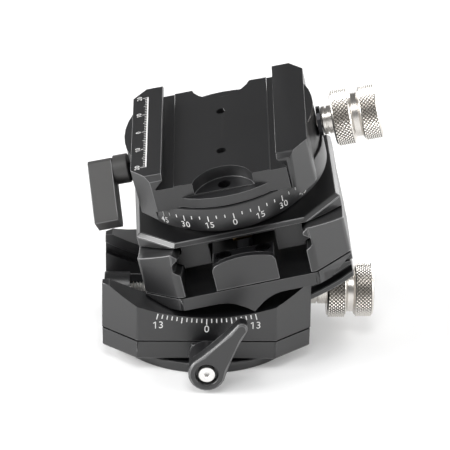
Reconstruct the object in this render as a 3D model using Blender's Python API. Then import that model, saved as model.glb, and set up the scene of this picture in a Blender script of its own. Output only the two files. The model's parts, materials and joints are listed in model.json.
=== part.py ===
"""Geared tripod head: a panning base, two stacked worm-driven arc slides and a panning dovetail clamp.

Lengths are in metres, +Z is up and the front faces -Y. The origin is the centre of the mounting
disc's underside. Every piece is drawn in the head's level pose, then carried to its resting pose by
the empties that stand on the joint axes.
"""
from math import acos, asin, atan2, ceil, cos, hypot, pi, radians, sin, sqrt

import bmesh
import bpy
from mathutils import Matrix, Vector

# Resting pose, in radians: the tilts and turns that the head stands at
LOWER_TILT = radians(-13.0)
UPPER_TILT = radians(9.5)
CLAMP_PAN = radians(-2.4)

# Clearances
GAP = 0.0003
RUNNING = 0.0003
OVERRUN = 0.004
FACET_ANGLE = radians(30.0)

# Eight-sided outline that the base and the carriage share
BODY_HALF_WIDTH = 0.0328
BODY_FRONT_HALF = 0.0217
BODY_HALF_DEPTH = 0.0281
BODY_CORNER_DEPTH = 0.0093

# Mounting disc, its spigot and the threaded bush
DISC_OVERHANG = 0.0023
DISC_THICKNESS = 0.0034
DISC_CHAMFER = 0.0005
SPIGOT_RADIUS = 0.0120
SPIGOT_TOP = 0.0083
BUSH_RADIUS = 0.0076
BUSH_HEIGHT = 0.0080
THREAD_RADIUS = 0.0040
RETAINER_RADIUS = 0.0150
RETAINER_THICKNESS = 0.0012
RETAINER_SCREW_CIRCLE = 0.0102
RETAINER_SCREW_RADIUS = 0.0009
RETAINER_SCREW_LENGTH = 0.0030
RETAINER_HEAD_RADIUS = 0.0015
RETAINER_HEAD_HEIGHT = 0.0006
RETAINER_SCREWS = 3

# Base cover and body
COVER_LIFT = 0.0005
SEAM_HEIGHT = 0.0102
COVER_CHAMFER = 0.0006
BASE_TOP_LOW = 0.01865
BASE_SHOULDER = 0.0260
CHANNEL_HALF = 0.0160
CHANNEL_FLOOR = 0.0117
LOWER_ARC_RADIUS = 0.0670
LOWER_LIP_DEPTH = 0.0034
LOWER_GROOVE_REACH = 0.0024
LOWER_GROOVE_BEVEL = 0.0012
COVER_SCREW_INSET_X = 0.0064
COVER_SCREW_INSET_Y = 0.0083
COVER_SCREW_RADIUS = 0.0012
COVER_SCREW_HEAD = 0.0023
COVER_SCREW_HEAD_HEIGHT = 0.0014
COVER_SCREW_LENGTH = 0.0100

# Pan lever at the front of the base, its clamping screw and brake plug
LEVER_AXIS_HEIGHT = 0.0067
LEVER_BOSS_RADIUS = 0.0056
LEVER_BOSS_REACH = 0.0026
LEVER_HUB_RADIUS = 0.00575
LEVER_HUB_LENGTH = 0.0123
LEVER_PLATE = 0.0046
LEVER_TIP_RADIUS = 0.0019
LEVER_TIP_SIDE = 0.01055
LEVER_TIP_RISE = 0.0157
LEVER_EDGE_BEVEL = 0.0006
LEVER_RECESS_RADIUS = 0.0034
LEVER_RECESS_DEPTH = 0.0022
LEVER_SCREW_RADIUS = 0.0020
LEVER_SCREW_HEAD_RADIUS = 0.0026
LEVER_SCREW_HEAD = 0.0018
LEVER_SOCKET_RADIUS = 0.0008
LEVER_SOCKET_DEPTH = 0.0009
LEVER_SCREW_END_GAP = 0.0045
BRAKE_PLUG_RADIUS = 0.0014
LEVER_WAIST = 0.00055
LEVER_FLANK_STEPS = 5

# Worm drives, alike below and above
WORM_PITCH = 0.00106
WORM_CREST_RADIUS = 0.00265
WORM_ROOT_RADIUS = 0.00195
WORM_SHAFT_RADIUS = 0.0018
WORM_ENGAGEMENT = 0.00055
WORM_TOOTH_SHARE = 0.62
WORM_SEGMENTS = 8
RACK_TOOTH_HEIGHT = 0.00070
RACK_TIP_SHARE = 0.20
RACK_BASE_SHARE = 0.66
RACK_HALF_WIDTH = 0.0030
RACK_BACKING = 0.0014
BEARING_RADIUS = 0.0029

# Lower worm
LOWER_WORM_HEIGHT = 0.0144
PILLAR_RADIUS = 0.0056
PILLAR_INSET = 0.0002
PILLAR_LENGTH = 0.0081
LOWER_COLLAR_GAP = 0.0006
LOWER_COLLAR_LENGTH = 0.0056

# Double-ring knobs, alike on both worms and on the clamp screw
KNOB_RING_RADIUS = 0.0089
KNOB_END_RADIUS = 0.0086
KNOB_GROOVE_RADIUS = 0.0070
KNOB_RING_WIDTH = 0.0063
KNOB_GROOVE_WIDTH = 0.0024
KNOB_ROUND = 0.0008
KNOB_COLLAR_RADIUS = 0.0045

# Carriage: plate, lower slide and rack
CARRIAGE_RISE = 0.0055
CARRIAGE_THICKNESS = 0.00425
PLATE_SWEEP_GAP = 0.0004
POINTER_HALF_WIDTH = 0.0105
POINTER_DROP = 0.0051
POINTER_DEPTH = 0.0035
POINTER_STEPS = 7
SLIDE_NECK_HALF = 0.0157
SLIDE_TONGUE_REACH = 0.0181
SLIDE_TONGUE_TOP = 0.0036
SLIDE_TONGUE_BEVEL = 0.0012
SLIDE_DEPTH = 0.0065
SLIDE_END_INSET = 0.0006
SLIDE_CHANNEL_HALF = 0.0064
SLIDE_SCREW_Y = 0.0110
RACK_HALF_ANGLE = radians(16.5)

# Guide rails of the upper slide
UPPER_ARC_RADIUS = 0.0800
RAIL_FOOT = 0.0019
RAIL_CHAMFER = 0.0014
RAIL_HEIGHT = 0.0094
RAIL_LIP = 0.0007
GROOVE_DEPTH = 0.0021
GROOVE_BEVEL = 0.0015
GROOVE_FLOOR = 0.0021
GROOVE_UNDERCUT = 0.0012
RAIL_SCREW_SHARE = 0.394
RAIL_SCREW_Y = 0.0120

# Bearing blocks of the upper worm
BLOCK_HALF_WIDTH = 0.0100
BLOCK_SHOULDER = 0.0069
BLOCK_CORNER = 0.0008
BLOCK_CORNER_RISE = 0.0014
BLOCK_RISE = 0.0099
BLOCK_ARC_STEPS = 10
BLOCK_FACE = 0.0026
BLOCK_DEPTH = 0.0120
BLOCK_BACK_RISE = 0.0073
BLOCK_SCREW_X = 0.0063
BLOCK_SCREW_SETBACK = 0.0091
BLOCK_SCREW_SEAT = 0.0052
BLOCK_SCREW_RADIUS = 0.0013
BLOCK_SCREW_HEAD = 0.00235
BLOCK_SCREW_HEAD_HEIGHT = 0.0024
BLOCK_SCREW_SOCKET = 0.0012
BLOCK_SCREW_SOCKET_DEPTH = 0.0012
BLOCK_SCREW_LENGTH = 0.0084
UPPER_WORM_RISE = 0.0040
UPPER_WORM_END_GAP = 0.0005
UPPER_COLLAR_GAP = 0.0005
UPPER_COLLAR_LENGTH = 0.0050

# Tilting plate and upper slide
TILT_HALF_WIDTH = 0.0328
TILT_FRONT_HALF = 0.0210
TILT_HALF_DEPTH = 0.0280
TILT_SIDE_HALF = 0.0174
TILT_END_THICKNESS = 0.001283
TILT_PLATE_CHAMFER = 0.00125
UPPER_SLIDE_DEPTH = 0.0080
UPPER_SLIDE_HALF_ANGLE = radians(20.0)
UPPER_CHANNEL_HALF = 0.0106
TONGUE_BEVEL = 0.0014
TONGUE_WALL = 0.0017
TONGUE_UNDERCUT = 0.0011
UPPER_SCREW_SHARE = 0.424

# Scale ring, its neck and the pan spindle
RING_OVERHANG = 0.00075
RING_NECK_RISE = 0.0043
RING_WIDTH = 0.0079
RING_NECK_INSET = 0.00485
RING_CHAMFER = 0.0004
SPINDLE_RADIUS = 0.0120
SPINDLE_RISE = 0.0054
SPINDLE_WAIST = 0.0012
SPINDLE_WAIST_HALF = 0.0016
RING_SCREW_Y = 0.0190
RING_SCREW_RISE = 0.0022

# Dovetail clamp
CLAMP_HALF_WIDTH = 0.0278
CLAMP_HALF_LENGTH = 0.0269
CLAMP_CORNER_SIDE = 0.0207
CLAMP_CORNER_END = 0.0220
CLAMP_BULGE = 0.0025
CLAMP_SKIRT_DROP = 0.0032
CLAMP_LEDGE_RISE = 0.0037
CLAMP_DECK_RISE = 0.00816
CLAMP_STRIP_STEP = 0.0003
CLAMP_PAD_HALF = 0.01517
CLAMP_JAW_HEIGHT = 0.00471
CLAMP_LIP_DEPTH = 0.0017
CLAMP_FIXED_LIP = 0.0181
CLAMP_MOVING_LIP = 0.0178
CLAMP_UNDERCUT = 0.0030
JAW_UNDERCUT = 0.0026
CLAMP_SEAM = 0.0202
CLAMP_END_CHAMFER = 0.0016
CLAMP_WINDOW_HALF = 0.0225
CLAMP_WINDOW_DEPTH = 0.0200
RING_CLEARANCE = 0.0003
POCKET_RADIUS = 0.0100
POCKET_CENTRE = 0.0300
POCKET_HOLE_RADIUS = 0.0021
POCKET_HOLE_Y = 0.0240
DECK_HOLE_RADIUS = 0.00155
DECK_HOLE_Y = 0.01145
DECK_HOLE_DEPTH = 0.0015
CLAMP_SCREW_RISE = 0.0050
CLAMP_SCREW_RADIUS = 0.0020
CLAMP_SCREW_TIP = 0.0136
CLAMP_WASHER_RADIUS = 0.0048
CLAMP_WASHER_THICKNESS = 0.0012
CLAMP_COLLAR_REACH = 0.0051
GUIDE_PIN_RADIUS = 0.0015
GUIDE_PIN_Y = 0.0180
GUIDE_PIN_RISE = 0.0039
GUIDE_PIN_START = 0.0140
GUIDE_PIN_END = 0.0262

# Paddle lever that locks the clamp's pan, with its screw and brake plug
PADDLE_AXIS_Y = -0.0028
PADDLE_AXIS_RISE = 0.0025
PADDLE_ANGLE = radians(54.0)
PADDLE_BARREL_GAP = 0.0013
PADDLE_BARREL_LENGTH = 0.0042
PADDLE_WIDTH = 0.0078
PADDLE_HALF_DEPTH = 0.0043
PADDLE_HUB_RISE = 0.0033
PADDLE_LENGTH = 0.0182
PADDLE_TOE = 0.0030
PADDLE_END_CUT = 0.0012
PADDLE_EDGE_BEVEL = 0.0004
PADDLE_SCREW_RADIUS = 0.0018
PADDLE_SCREW_TIP = 0.0155
PADDLE_PLUG_RADIUS = 0.0014

# Screws whose heads are covered by the next piece
HIDDEN_SCREW_RADIUS = 0.0013
HIDDEN_HEAD_RADIUS = 0.0024
HIDDEN_HEAD_HEIGHT = 0.0018
HIDDEN_SCREW_LENGTH = 0.0100

# Sides that a full circle is drawn with, and the angle between steps of a long arc
DISC_SIDES = 48
KNOB_SIDES = 24
PIN_SIDES = 14
HOLE_SIDES = 10
SCREW_SIDES = 8
ARC_STEP = radians(3.6)

# Heights and radii worked out from the sizes above
COVER_BOTTOM = DISC_THICKNESS + COVER_LIFT
CARRIAGE_PLATE_BOTTOM = BASE_TOP_LOW + CARRIAGE_RISE
CARRIAGE_PLATE_TOP = CARRIAGE_PLATE_BOTTOM + CARRIAGE_THICKNESS
UPPER_WORM_HEIGHT = CARRIAGE_PLATE_TOP + UPPER_WORM_RISE
LOWER_AXIS_HEIGHT = BASE_TOP_LOW + LOWER_ARC_RADIUS
UPPER_AXIS_HEIGHT = CARRIAGE_PLATE_TOP + GAP + UPPER_ARC_RADIUS
LOWER_WORM_RADIUS = LOWER_AXIS_HEIGHT - LOWER_WORM_HEIGHT
UPPER_WORM_RADIUS = UPPER_AXIS_HEIGHT - UPPER_WORM_HEIGHT
RAIL_TOP_RADIUS = UPPER_ARC_RADIUS - RAIL_HEIGHT
TILT_UNDERSIDE_RADIUS = RAIL_TOP_RADIUS - RUNNING
TILT_END_UNDERSIDE = UPPER_AXIS_HEIGHT - sqrt(TILT_UNDERSIDE_RADIUS ** 2 - TILT_HALF_DEPTH ** 2)
TILT_PLATE_TOP = TILT_END_UNDERSIDE + TILT_END_THICKNESS
RING_BOTTOM = TILT_PLATE_TOP + RING_NECK_RISE
RING_TOP = RING_BOTTOM + RING_WIDTH
RING_SCREW_FACE = RING_BOTTOM + RING_SCREW_RISE
SPINDLE_TOP = RING_TOP + SPINDLE_RISE
CLAMP_BOTTOM = RING_TOP + RUNNING
CLAMP_SKIRT = RING_TOP - CLAMP_SKIRT_DROP
CLAMP_LEDGE = RING_TOP + CLAMP_LEDGE_RISE
CLAMP_DECK = RING_TOP + CLAMP_DECK_RISE
CLAMP_JAW_TOP = CLAMP_DECK + CLAMP_JAW_HEIGHT
CLAMP_SCREW_HEIGHT = RING_TOP + CLAMP_SCREW_RISE
GUIDE_PIN_HEIGHT = RING_TOP + GUIDE_PIN_RISE
PADDLE_AXIS_HEIGHT = RING_TOP + PADDLE_AXIS_RISE

# Places along the head, worked out from the housings that they follow
BODY_SIDE_HALF = BODY_HALF_DEPTH - BODY_CORNER_DEPTH
DISC_RADIUS = BODY_HALF_DEPTH + DISC_OVERHANG
COVER_SCREW_X = BODY_HALF_WIDTH - COVER_SCREW_INSET_X
COVER_SCREW_Y = BODY_HALF_DEPTH - COVER_SCREW_INSET_Y
RAIL_INNER = BODY_FRONT_HALF - RAIL_FOOT
RAIL_WALL = BODY_HALF_WIDTH - RAIL_INNER - GROOVE_DEPTH
RAIL_SCREW_X = RAIL_INNER + GROOVE_DEPTH + RAIL_WALL * RAIL_SCREW_SHARE
UPPER_SCREW_X = UPPER_CHANNEL_HALF + (RAIL_INNER - UPPER_CHANNEL_HALF) * UPPER_SCREW_SHARE
LEVER_BOSS_FRONT = BODY_HALF_DEPTH + LEVER_BOSS_REACH
LEVER_HUB_BACK = LEVER_BOSS_FRONT + RUNNING
LEVER_FRONT = LEVER_HUB_BACK + LEVER_HUB_LENGTH
LEVER_SCREW_TIP = SPIGOT_RADIUS + LEVER_SCREW_END_GAP
PILLAR_OUTER = BODY_HALF_WIDTH - PILLAR_INSET
PILLAR_INNER = PILLAR_OUTER - PILLAR_LENGTH
LOWER_WORM_HALF_LENGTH = PILLAR_INNER - RUNNING
LOWER_COLLAR_START = PILLAR_OUTER + LOWER_COLLAR_GAP
LOWER_KNOB_START = LOWER_COLLAR_START + LOWER_COLLAR_LENGTH
SLIDE_END = BODY_HALF_WIDTH - SLIDE_END_INSET
UPPER_WORM_HALF_LENGTH = BODY_HALF_DEPTH - BLOCK_DEPTH - UPPER_WORM_END_GAP
UPPER_COLLAR_START = BODY_HALF_DEPTH + UPPER_COLLAR_GAP
UPPER_KNOB_START = UPPER_COLLAR_START + UPPER_COLLAR_LENGTH
CLAMP_DISC_RADIUS = CLAMP_HALF_WIDTH + CLAMP_BULGE
RING_RADIUS = CLAMP_DISC_RADIUS + RING_OVERHANG
RING_NECK_RADIUS = RING_RADIUS - RING_NECK_INSET
CLAMP_KNOB_START = CLAMP_DISC_RADIUS + CLAMP_COLLAR_REACH
PADDLE_BARREL_START = CLAMP_DISC_RADIUS + PADDLE_BARREL_GAP
PADDLE_INNER = PADDLE_BARREL_START + PADDLE_BARREL_LENGTH
PADDLE_OUTER = PADDLE_INNER + PADDLE_WIDTH


def clear_scene():
    for item in list(bpy.data.objects):
        bpy.data.objects.remove(item, do_unlink=True)


def material(name, colour, roughness, metallic):
    finish = bpy.data.materials.get(name)
    if finish:
        return finish
    finish = bpy.data.materials.new(name)
    finish.use_nodes = True
    shader = finish.node_tree.nodes["Principled BSDF"]
    shader.inputs["Base Color"].default_value = (*colour, 1.0)
    shader.inputs["Roughness"].default_value = roughness
    shader.inputs["Metallic"].default_value = metallic
    finish.diffuse_color = (*colour, 1.0)
    return finish


def black_anodised():
    return material("black_anodised", (0.030, 0.031, 0.034), 0.42, 0.6)


def stainless():
    return material("stainless", (0.62, 0.60, 0.57), 0.28, 1.0)


def brass():
    return material("brass", (0.66, 0.48, 0.22), 0.32, 1.0)


def black_steel():
    return material("black_steel", (0.05, 0.05, 0.055), 0.35, 1.0)


class Frame:
    """An empty on a joint's axis, and the level-pose point that it stands at."""

    def __init__(self, name, pivot, parent=None, turn=(0.0, 0.0, 0.0)):
        self.pivot = Vector(pivot)
        self.empty = bpy.data.objects.new(name, None)
        bpy.context.scene.collection.objects.link(self.empty)
        if parent:
            self.empty.parent = parent.empty
            self.empty.location = self.pivot - parent.pivot
        else:
            self.empty.location = self.pivot
        self.empty.rotation_euler = turn

    def carry(self, piece, finish):
        """Hang a piece, drawn in the level pose, on this frame and give it its finish."""
        piece.data.transform(Matrix.Translation(-self.pivot))
        piece.parent = self.empty
        piece.data.materials.clear()
        piece.data.materials.append(finish)
        piece.data.shade_smooth()
        piece.data.set_sharp_from_angle(angle=FACET_ANGLE)
        return piece

    def carry_all(self, pieces, finish):
        for piece in pieces:
            self.carry(piece, finish)


def new_object(name, build):
    """Make a mesh object from a bmesh, with its faces turned outwards."""
    bmesh.ops.recalc_face_normals(build, faces=build.faces)
    mesh = bpy.data.meshes.new(name)
    build.to_mesh(mesh)
    build.free()
    made = bpy.data.objects.new(name, mesh)
    bpy.context.scene.collection.objects.link(made)
    return made


def prism(name, outline, low, high, axis="z"):
    """Extrude a flat outline along an axis: (x, y) along z, (x, z) along y or (y, z) along x."""
    def point(pair, level):
        if axis == "z":
            return (pair[0], pair[1], level)
        if axis == "y":
            return (pair[0], level, pair[1])
        return (level, pair[0], pair[1])

    build = bmesh.new()
    base = [build.verts.new(point(pair, low)) for pair in outline]
    face = build.faces.new(base)
    sweep = bmesh.ops.extrude_face_region(build, geom=[face])
    moved = [item for item in sweep["geom"] if isinstance(item, bmesh.types.BMVert)]
    bmesh.ops.translate(build, verts=moved, vec=Vector(point((0.0, 0.0), high - low)))
    return new_object(name, build)


def turned(name, profile, centre=(0.0, 0.0, 0.0), axis="z", sides=DISC_SIDES):
    """Spin a profile of (radius, distance) points round an axis through the centre."""
    build = bmesh.new()
    points = [build.verts.new((radius, 0.0, along)) for radius, along in profile]
    edges = [build.edges.new(pair) for pair in zip(points, points[1:])]
    if profile[0][0] > 0.0 and profile[-1][0] > 0.0:
        edges.append(build.edges.new((points[-1], points[0])))
    bmesh.ops.spin(build, geom=points + edges, axis=(0.0, 0.0, 1.0), cent=(0.0, 0.0, 0.0),
                   angle=2.0 * pi, steps=sides, use_merge=True)
    bmesh.ops.remove_doubles(build, verts=build.verts, dist=GAP / 30.0)
    turn = {"z": Matrix.Identity(4),
            "x": Matrix.Rotation(pi / 2.0, 4, "Y"),
            "y": Matrix.Rotation(-pi / 2.0, 4, "X")}[axis]
    bmesh.ops.transform(build, matrix=Matrix.Translation(centre) @ turn, verts=build.verts)
    return new_object(name, build)


def rod(name, radius, low, high, centre=(0.0, 0.0, 0.0), axis="z", sides=PIN_SIDES):
    return turned(name, [(0.0, low), (radius, low), (radius, high), (0.0, high)], centre, axis, sides)


def swept(name, section, axis, height, start, stop):
    """Sweep a section of (side, radius) points about a tilt axis that lies at a height.

    axis "y" is the lower tilt axis, with the section's side along y; axis "x" is the upper one.
    """
    steps = max(2, ceil((stop - start) / ARC_STEP))
    build = bmesh.new()
    rings = []
    for step in range(steps + 1):
        angle = start + (stop - start) * step / steps
        ring = []
        for side, radius in section:
            along = radius * sin(angle)
            level = height - radius * cos(angle)
            place = (along, side, level) if axis == "y" else (side, along, level)
            ring.append(build.verts.new(place))
        rings.append(ring)
    build.faces.new(rings[0])
    build.faces.new(list(reversed(rings[-1])))
    for near, far in zip(rings, rings[1:]):
        for index in range(len(section)):
            after = (index + 1) % len(section)
            build.faces.new((near[index], near[after], far[after], far[index]))
    return new_object(name, build)


def combine(target, tool, operation):
    """Join a piece with a tool, cut it or keep what they share, and drop the tool."""
    change = target.modifiers.new("shape", "BOOLEAN")
    change.operation = operation
    change.solver = "EXACT"
    change.object = tool
    bpy.context.view_layer.update()
    shaped = target.evaluated_get(bpy.context.evaluated_depsgraph_get())
    mesh = bpy.data.meshes.new_from_object(shaped)
    target.modifiers.clear()
    target.data = mesh
    bpy.data.objects.remove(tool, do_unlink=True)
    return target


def cut(target, *tools):
    for tool in tools:
        combine(target, tool, "DIFFERENCE")
    return target


def join(target, *tools):
    for tool in tools:
        combine(target, tool, "UNION")
    return target


def keep(target, tool):
    return combine(target, tool, "INTERSECT")


def eight_sided(half_width, front_half, half_depth, side_half):
    return [(front_half, -half_depth), (half_width, -side_half), (half_width, side_half),
            (front_half, half_depth), (-front_half, half_depth), (-half_width, side_half),
            (-half_width, -side_half), (-front_half, -half_depth)]


def body_outline():
    return eight_sided(BODY_HALF_WIDTH, BODY_FRONT_HALF, BODY_HALF_DEPTH, BODY_SIDE_HALF)


def half_turn_outline(radius, centre_height, foot):
    """A round-topped outline that stands on a foot: (y, z) points of a bearing pillar."""
    arc = [(radius * cos(pi * step / PIN_SIDES), centre_height + radius * sin(pi * step / PIN_SIDES))
           for step in range(PIN_SIDES + 1)]
    return arc + [(-radius, foot), (radius, foot)]


def stepped_prism(name, levels):
    """Loft closed outlines of equal count through rising levels: a prism with bevelled rims."""
    build = bmesh.new()
    rings = [[build.verts.new((x, y, level)) for x, y in outline] for outline, level in levels]
    build.faces.new(rings[0])
    build.faces.new(rings[-1])
    for low, high in zip(rings, rings[1:]):
        for index in range(len(low)):
            after = (index + 1) % len(low)
            build.faces.new((low[index], low[after], high[after], high[index]))
    return new_object(name, build)


def inset(outline, distance):
    """Move a convex outline's edges inwards by a distance."""
    count = len(outline)
    moved = []
    for index in range(count):
        before = Vector(outline[index - 1])
        here = Vector(outline[index])
        after = Vector(outline[(index + 1) % count])
        first = (here - before).normalized()
        second = (after - here).normalized()
        bisector = (second - first).normalized()
        spread = sqrt(max((1.0 + first.dot(second)) / 2.0, 0.0))
        corner = here + bisector * (distance / spread)
        moved.append((corner.x, corner.y))
    return moved


# Mounting disc and what stands on it

def make_mount_disc(frame):
    profile = [(BUSH_RADIUS + GAP, 0.0), (DISC_RADIUS - DISC_CHAMFER, 0.0), (DISC_RADIUS, DISC_CHAMFER),
               (DISC_RADIUS, DISC_THICKNESS - DISC_CHAMFER),
               (DISC_RADIUS - DISC_CHAMFER, DISC_THICKNESS), (SPIGOT_RADIUS, DISC_THICKNESS),
               (SPIGOT_RADIUS, SPIGOT_TOP), (BUSH_RADIUS + GAP, SPIGOT_TOP)]
    disc = turned("mount_disc", profile)
    for place in retainer_screw_places():
        hole = RETAINER_SCREW_RADIUS + GAP
        cut(disc, rod("hole", hole, SPIGOT_TOP - RETAINER_SCREW_LENGTH, SPIGOT_TOP + OVERRUN,
                      place, sides=HOLE_SIDES))
    frame.carry(disc, black_anodised())


def make_thread_bush(frame):
    profile = [(THREAD_RADIUS, 0.0), (BUSH_RADIUS, 0.0), (BUSH_RADIUS, BUSH_HEIGHT),
               (THREAD_RADIUS, BUSH_HEIGHT)]
    frame.carry(turned("thread_bush", profile, sides=KNOB_SIDES), stainless())


def retainer_screw_places():
    return [(RETAINER_SCREW_CIRCLE * cos(2.0 * pi * step / RETAINER_SCREWS),
             RETAINER_SCREW_CIRCLE * sin(2.0 * pi * step / RETAINER_SCREWS), 0.0)
            for step in range(RETAINER_SCREWS)]


def make_retaining_washer(frame):
    low = SPIGOT_TOP + GAP
    high = low + RETAINER_THICKNESS
    profile = [(THREAD_RADIUS + GAP, low), (RETAINER_RADIUS, low), (RETAINER_RADIUS, high),
               (THREAD_RADIUS + GAP, high)]
    washer = turned("retaining_washer", profile, sides=KNOB_SIDES)
    for place in retainer_screw_places():
        cut(washer, rod("hole", RETAINER_SCREW_RADIUS + GAP, low - OVERRUN, high + OVERRUN,
                        place, sides=HOLE_SIDES),
            rod("seat", RETAINER_HEAD_RADIUS + GAP, high - RETAINER_HEAD_HEIGHT - GAP, high + OVERRUN,
                place, sides=HOLE_SIDES))
    frame.carry(washer, black_steel())


def make_retaining_screws(frame):
    top = SPIGOT_TOP + GAP + RETAINER_THICKNESS
    pieces = []
    for number, place in enumerate(retainer_screw_places(), 1):
        under = top - RETAINER_HEAD_HEIGHT
        foot = SPIGOT_TOP - RETAINER_SCREW_LENGTH + GAP
        profile = [(0.0, foot), (RETAINER_SCREW_RADIUS, foot), (RETAINER_SCREW_RADIUS, under),
                   (RETAINER_HEAD_RADIUS, under), (RETAINER_HEAD_RADIUS, top), (0.0, top)]
        pieces.append(turned(f"retaining_screw_{number}", profile, place, sides=SCREW_SIDES))
    frame.carry_all(pieces, stainless())


# Base: cover, body and the parts that they hold

def cover_screw_places():
    return [(side * COVER_SCREW_X, end * COVER_SCREW_Y, 0.0) for side in (-1, 1) for end in (-1, 1)]


def make_base_cover(frame):
    outline = body_outline()
    cover = stepped_prism("base_cover", [(inset(outline, COVER_CHAMFER), COVER_BOTTOM),
                                         (outline, COVER_BOTTOM + COVER_CHAMFER),
                                         (outline, SEAM_HEIGHT)])
    boss = rod("boss", LEVER_BOSS_RADIUS, -LEVER_BOSS_FRONT, -BODY_HALF_DEPTH + OVERRUN,
               (0.0, 0.0, LEVER_AXIS_HEIGHT), "y", KNOB_SIDES)
    boss_limit = box("limit", (-BODY_FRONT_HALF, BODY_FRONT_HALF), (-LEVER_BOSS_FRONT - OVERRUN, 0.0),
                     (COVER_BOTTOM + RUNNING, SEAM_HEIGHT - RUNNING))
    join(cover, keep(boss, boss_limit))
    washer_floor = SPIGOT_TOP - RUNNING
    cut(cover, rod("spigot_bore", SPIGOT_RADIUS + RUNNING, 0.0, SEAM_HEIGHT + OVERRUN, sides=KNOB_SIDES),
        rod("washer_bore", RETAINER_RADIUS + RUNNING, washer_floor, SEAM_HEIGHT + OVERRUN,
            sides=KNOB_SIDES),
        rod("lever_screw_hole", LEVER_SCREW_RADIUS + GAP, -LEVER_BOSS_FRONT - OVERRUN,
            -SPIGOT_RADIUS, (0.0, 0.0, LEVER_AXIS_HEIGHT), "y"))
    head = COVER_BOTTOM + COVER_SCREW_HEAD_HEIGHT + GAP
    over = SEAM_HEIGHT + OVERRUN
    stepped = [(0.0, 0.0), (COVER_SCREW_HEAD + GAP, 0.0), (COVER_SCREW_HEAD + GAP, head),
               (COVER_SCREW_RADIUS + GAP, head), (COVER_SCREW_RADIUS + GAP, over), (0.0, over)]
    for place in cover_screw_places():
        cut(cover, turned("screw_seat", stepped, place, sides=HOLE_SIDES))
    frame.carry(cover, black_anodised())


def make_cover_screws(frame):
    pieces = []
    foot = COVER_BOTTOM + GAP
    under = foot + COVER_SCREW_HEAD_HEIGHT - GAP
    top = foot + COVER_SCREW_LENGTH
    for number, place in enumerate(cover_screw_places(), 1):
        profile = [(0.0, foot), (COVER_SCREW_HEAD, foot), (COVER_SCREW_HEAD, under),
                   (COVER_SCREW_RADIUS, under), (COVER_SCREW_RADIUS, top), (0.0, top)]
        pieces.append(turned(f"cover_screw_{number}", profile, place, sides=HOLE_SIDES))
    frame.carry_all(pieces, stainless())


def groove_section(sign):
    """Side groove of the base: its lip leans out and its floor is flat."""
    past = OVERRUN / 4.0
    lip = LOWER_ARC_RADIUS + LOWER_LIP_DEPTH
    reach = CHANNEL_HALF + LOWER_GROOVE_REACH
    inner = CHANNEL_HALF - past
    start = lip - past * LOWER_GROOVE_BEVEL / LOWER_GROOVE_REACH
    floor = LOWER_ARC_RADIUS + SLIDE_DEPTH + RUNNING
    return [(sign * inner, start), (sign * reach, lip + LOWER_GROOVE_BEVEL),
            (sign * reach, floor), (sign * inner, floor)]


def make_base_body(frame):
    low = SEAM_HEIGHT + GAP
    body = prism("base_body", body_outline(), low, BASE_SHOULDER)
    span = BODY_HALF_DEPTH + OVERRUN
    cut(body, rod("arc_top", LOWER_ARC_RADIUS, -span, span, (0.0, 0.0, LOWER_AXIS_HEIGHT), "y",
                  int(2.0 * pi / ARC_STEP)))
    ends = BODY_HALF_WIDTH + OVERRUN
    cut(body, box("channel", (-ends, ends), (-CHANNEL_HALF, CHANNEL_HALF),
                  (CHANNEL_FLOOR, BASE_SHOULDER + OVERRUN)))
    reach = asin(ends / LOWER_ARC_RADIUS)
    for sign in (-1, 1):
        cut(body, swept("groove", groove_section(sign), "y", LOWER_AXIS_HEIGHT, -reach, reach))
    for side in (-1, 1):
        inner, outer = sorted((side * PILLAR_INNER, side * PILLAR_OUTER))
        foot = (low + CHANNEL_FLOOR) / 2.0
        join(body, prism("pillar", half_turn_outline(PILLAR_RADIUS, LOWER_WORM_HEIGHT, foot),
                         inner, outer, "x"))
    cut(body, rod("worm_bore", BEARING_RADIUS + GAP, -ends, ends, (0.0, 0.0, LOWER_WORM_HEIGHT), "x"))
    for place in cover_screw_places():
        top = COVER_BOTTOM + COVER_SCREW_LENGTH + GAP + GAP
        cut(body, rod("hole", COVER_SCREW_RADIUS + GAP, 0.0, top, place, sides=HOLE_SIDES))
    frame.carry(body, black_anodised())


def make_brake_plug(frame):
    plug = rod("base_brake_plug", BRAKE_PLUG_RADIUS, -LEVER_SCREW_TIP + GAP, -SPIGOT_RADIUS - RUNNING,
               (0.0, 0.0, LEVER_AXIS_HEIGHT), "y", HOLE_SIDES)
    frame.carry(plug, brass())


def lever_outline():
    """Teardrop of the front lever: a round hub, hollow flanks and a small round tip."""
    length = hypot(LEVER_TIP_SIDE, LEVER_TIP_RISE)
    lean = atan2(LEVER_TIP_RISE, LEVER_TIP_SIDE)
    spread = acos((LEVER_HUB_RADIUS - LEVER_TIP_RADIUS) / length)
    hub = []
    for step in range(PIN_SIDES + 1):
        angle = lean + spread + (2.0 * pi - 2.0 * spread) * step / PIN_SIDES
        hub.append((LEVER_HUB_RADIUS * cos(angle), LEVER_AXIS_HEIGHT + LEVER_HUB_RADIUS * sin(angle)))
    tip = []
    for step in range(HOLE_SIDES // 2 + 1):
        angle = lean - spread + 2.0 * spread * step / (HOLE_SIDES // 2)
        tip.append((LEVER_TIP_SIDE + LEVER_TIP_RADIUS * cos(angle),
                    LEVER_AXIS_HEIGHT + LEVER_TIP_RISE + LEVER_TIP_RADIUS * sin(angle)))
    return hub + hollow_flank(hub[-1], tip[0]) + tip + hollow_flank(tip[-1], hub[0])


def hollow_flank(start, stop):
    """The points between two ends of a flank that bows inwards, on the left of its direction."""
    run = Vector((stop[0] - start[0], stop[1] - start[1]))
    inward = Vector((-run.y, run.x)).normalized() * LEVER_WAIST
    points = []
    for step in range(1, LEVER_FLANK_STEPS):
        share = step / LEVER_FLANK_STEPS
        spot = Vector(start) + run * share + inward * sin(pi * share)
        points.append((spot.x, spot.y))
    return points


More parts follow.
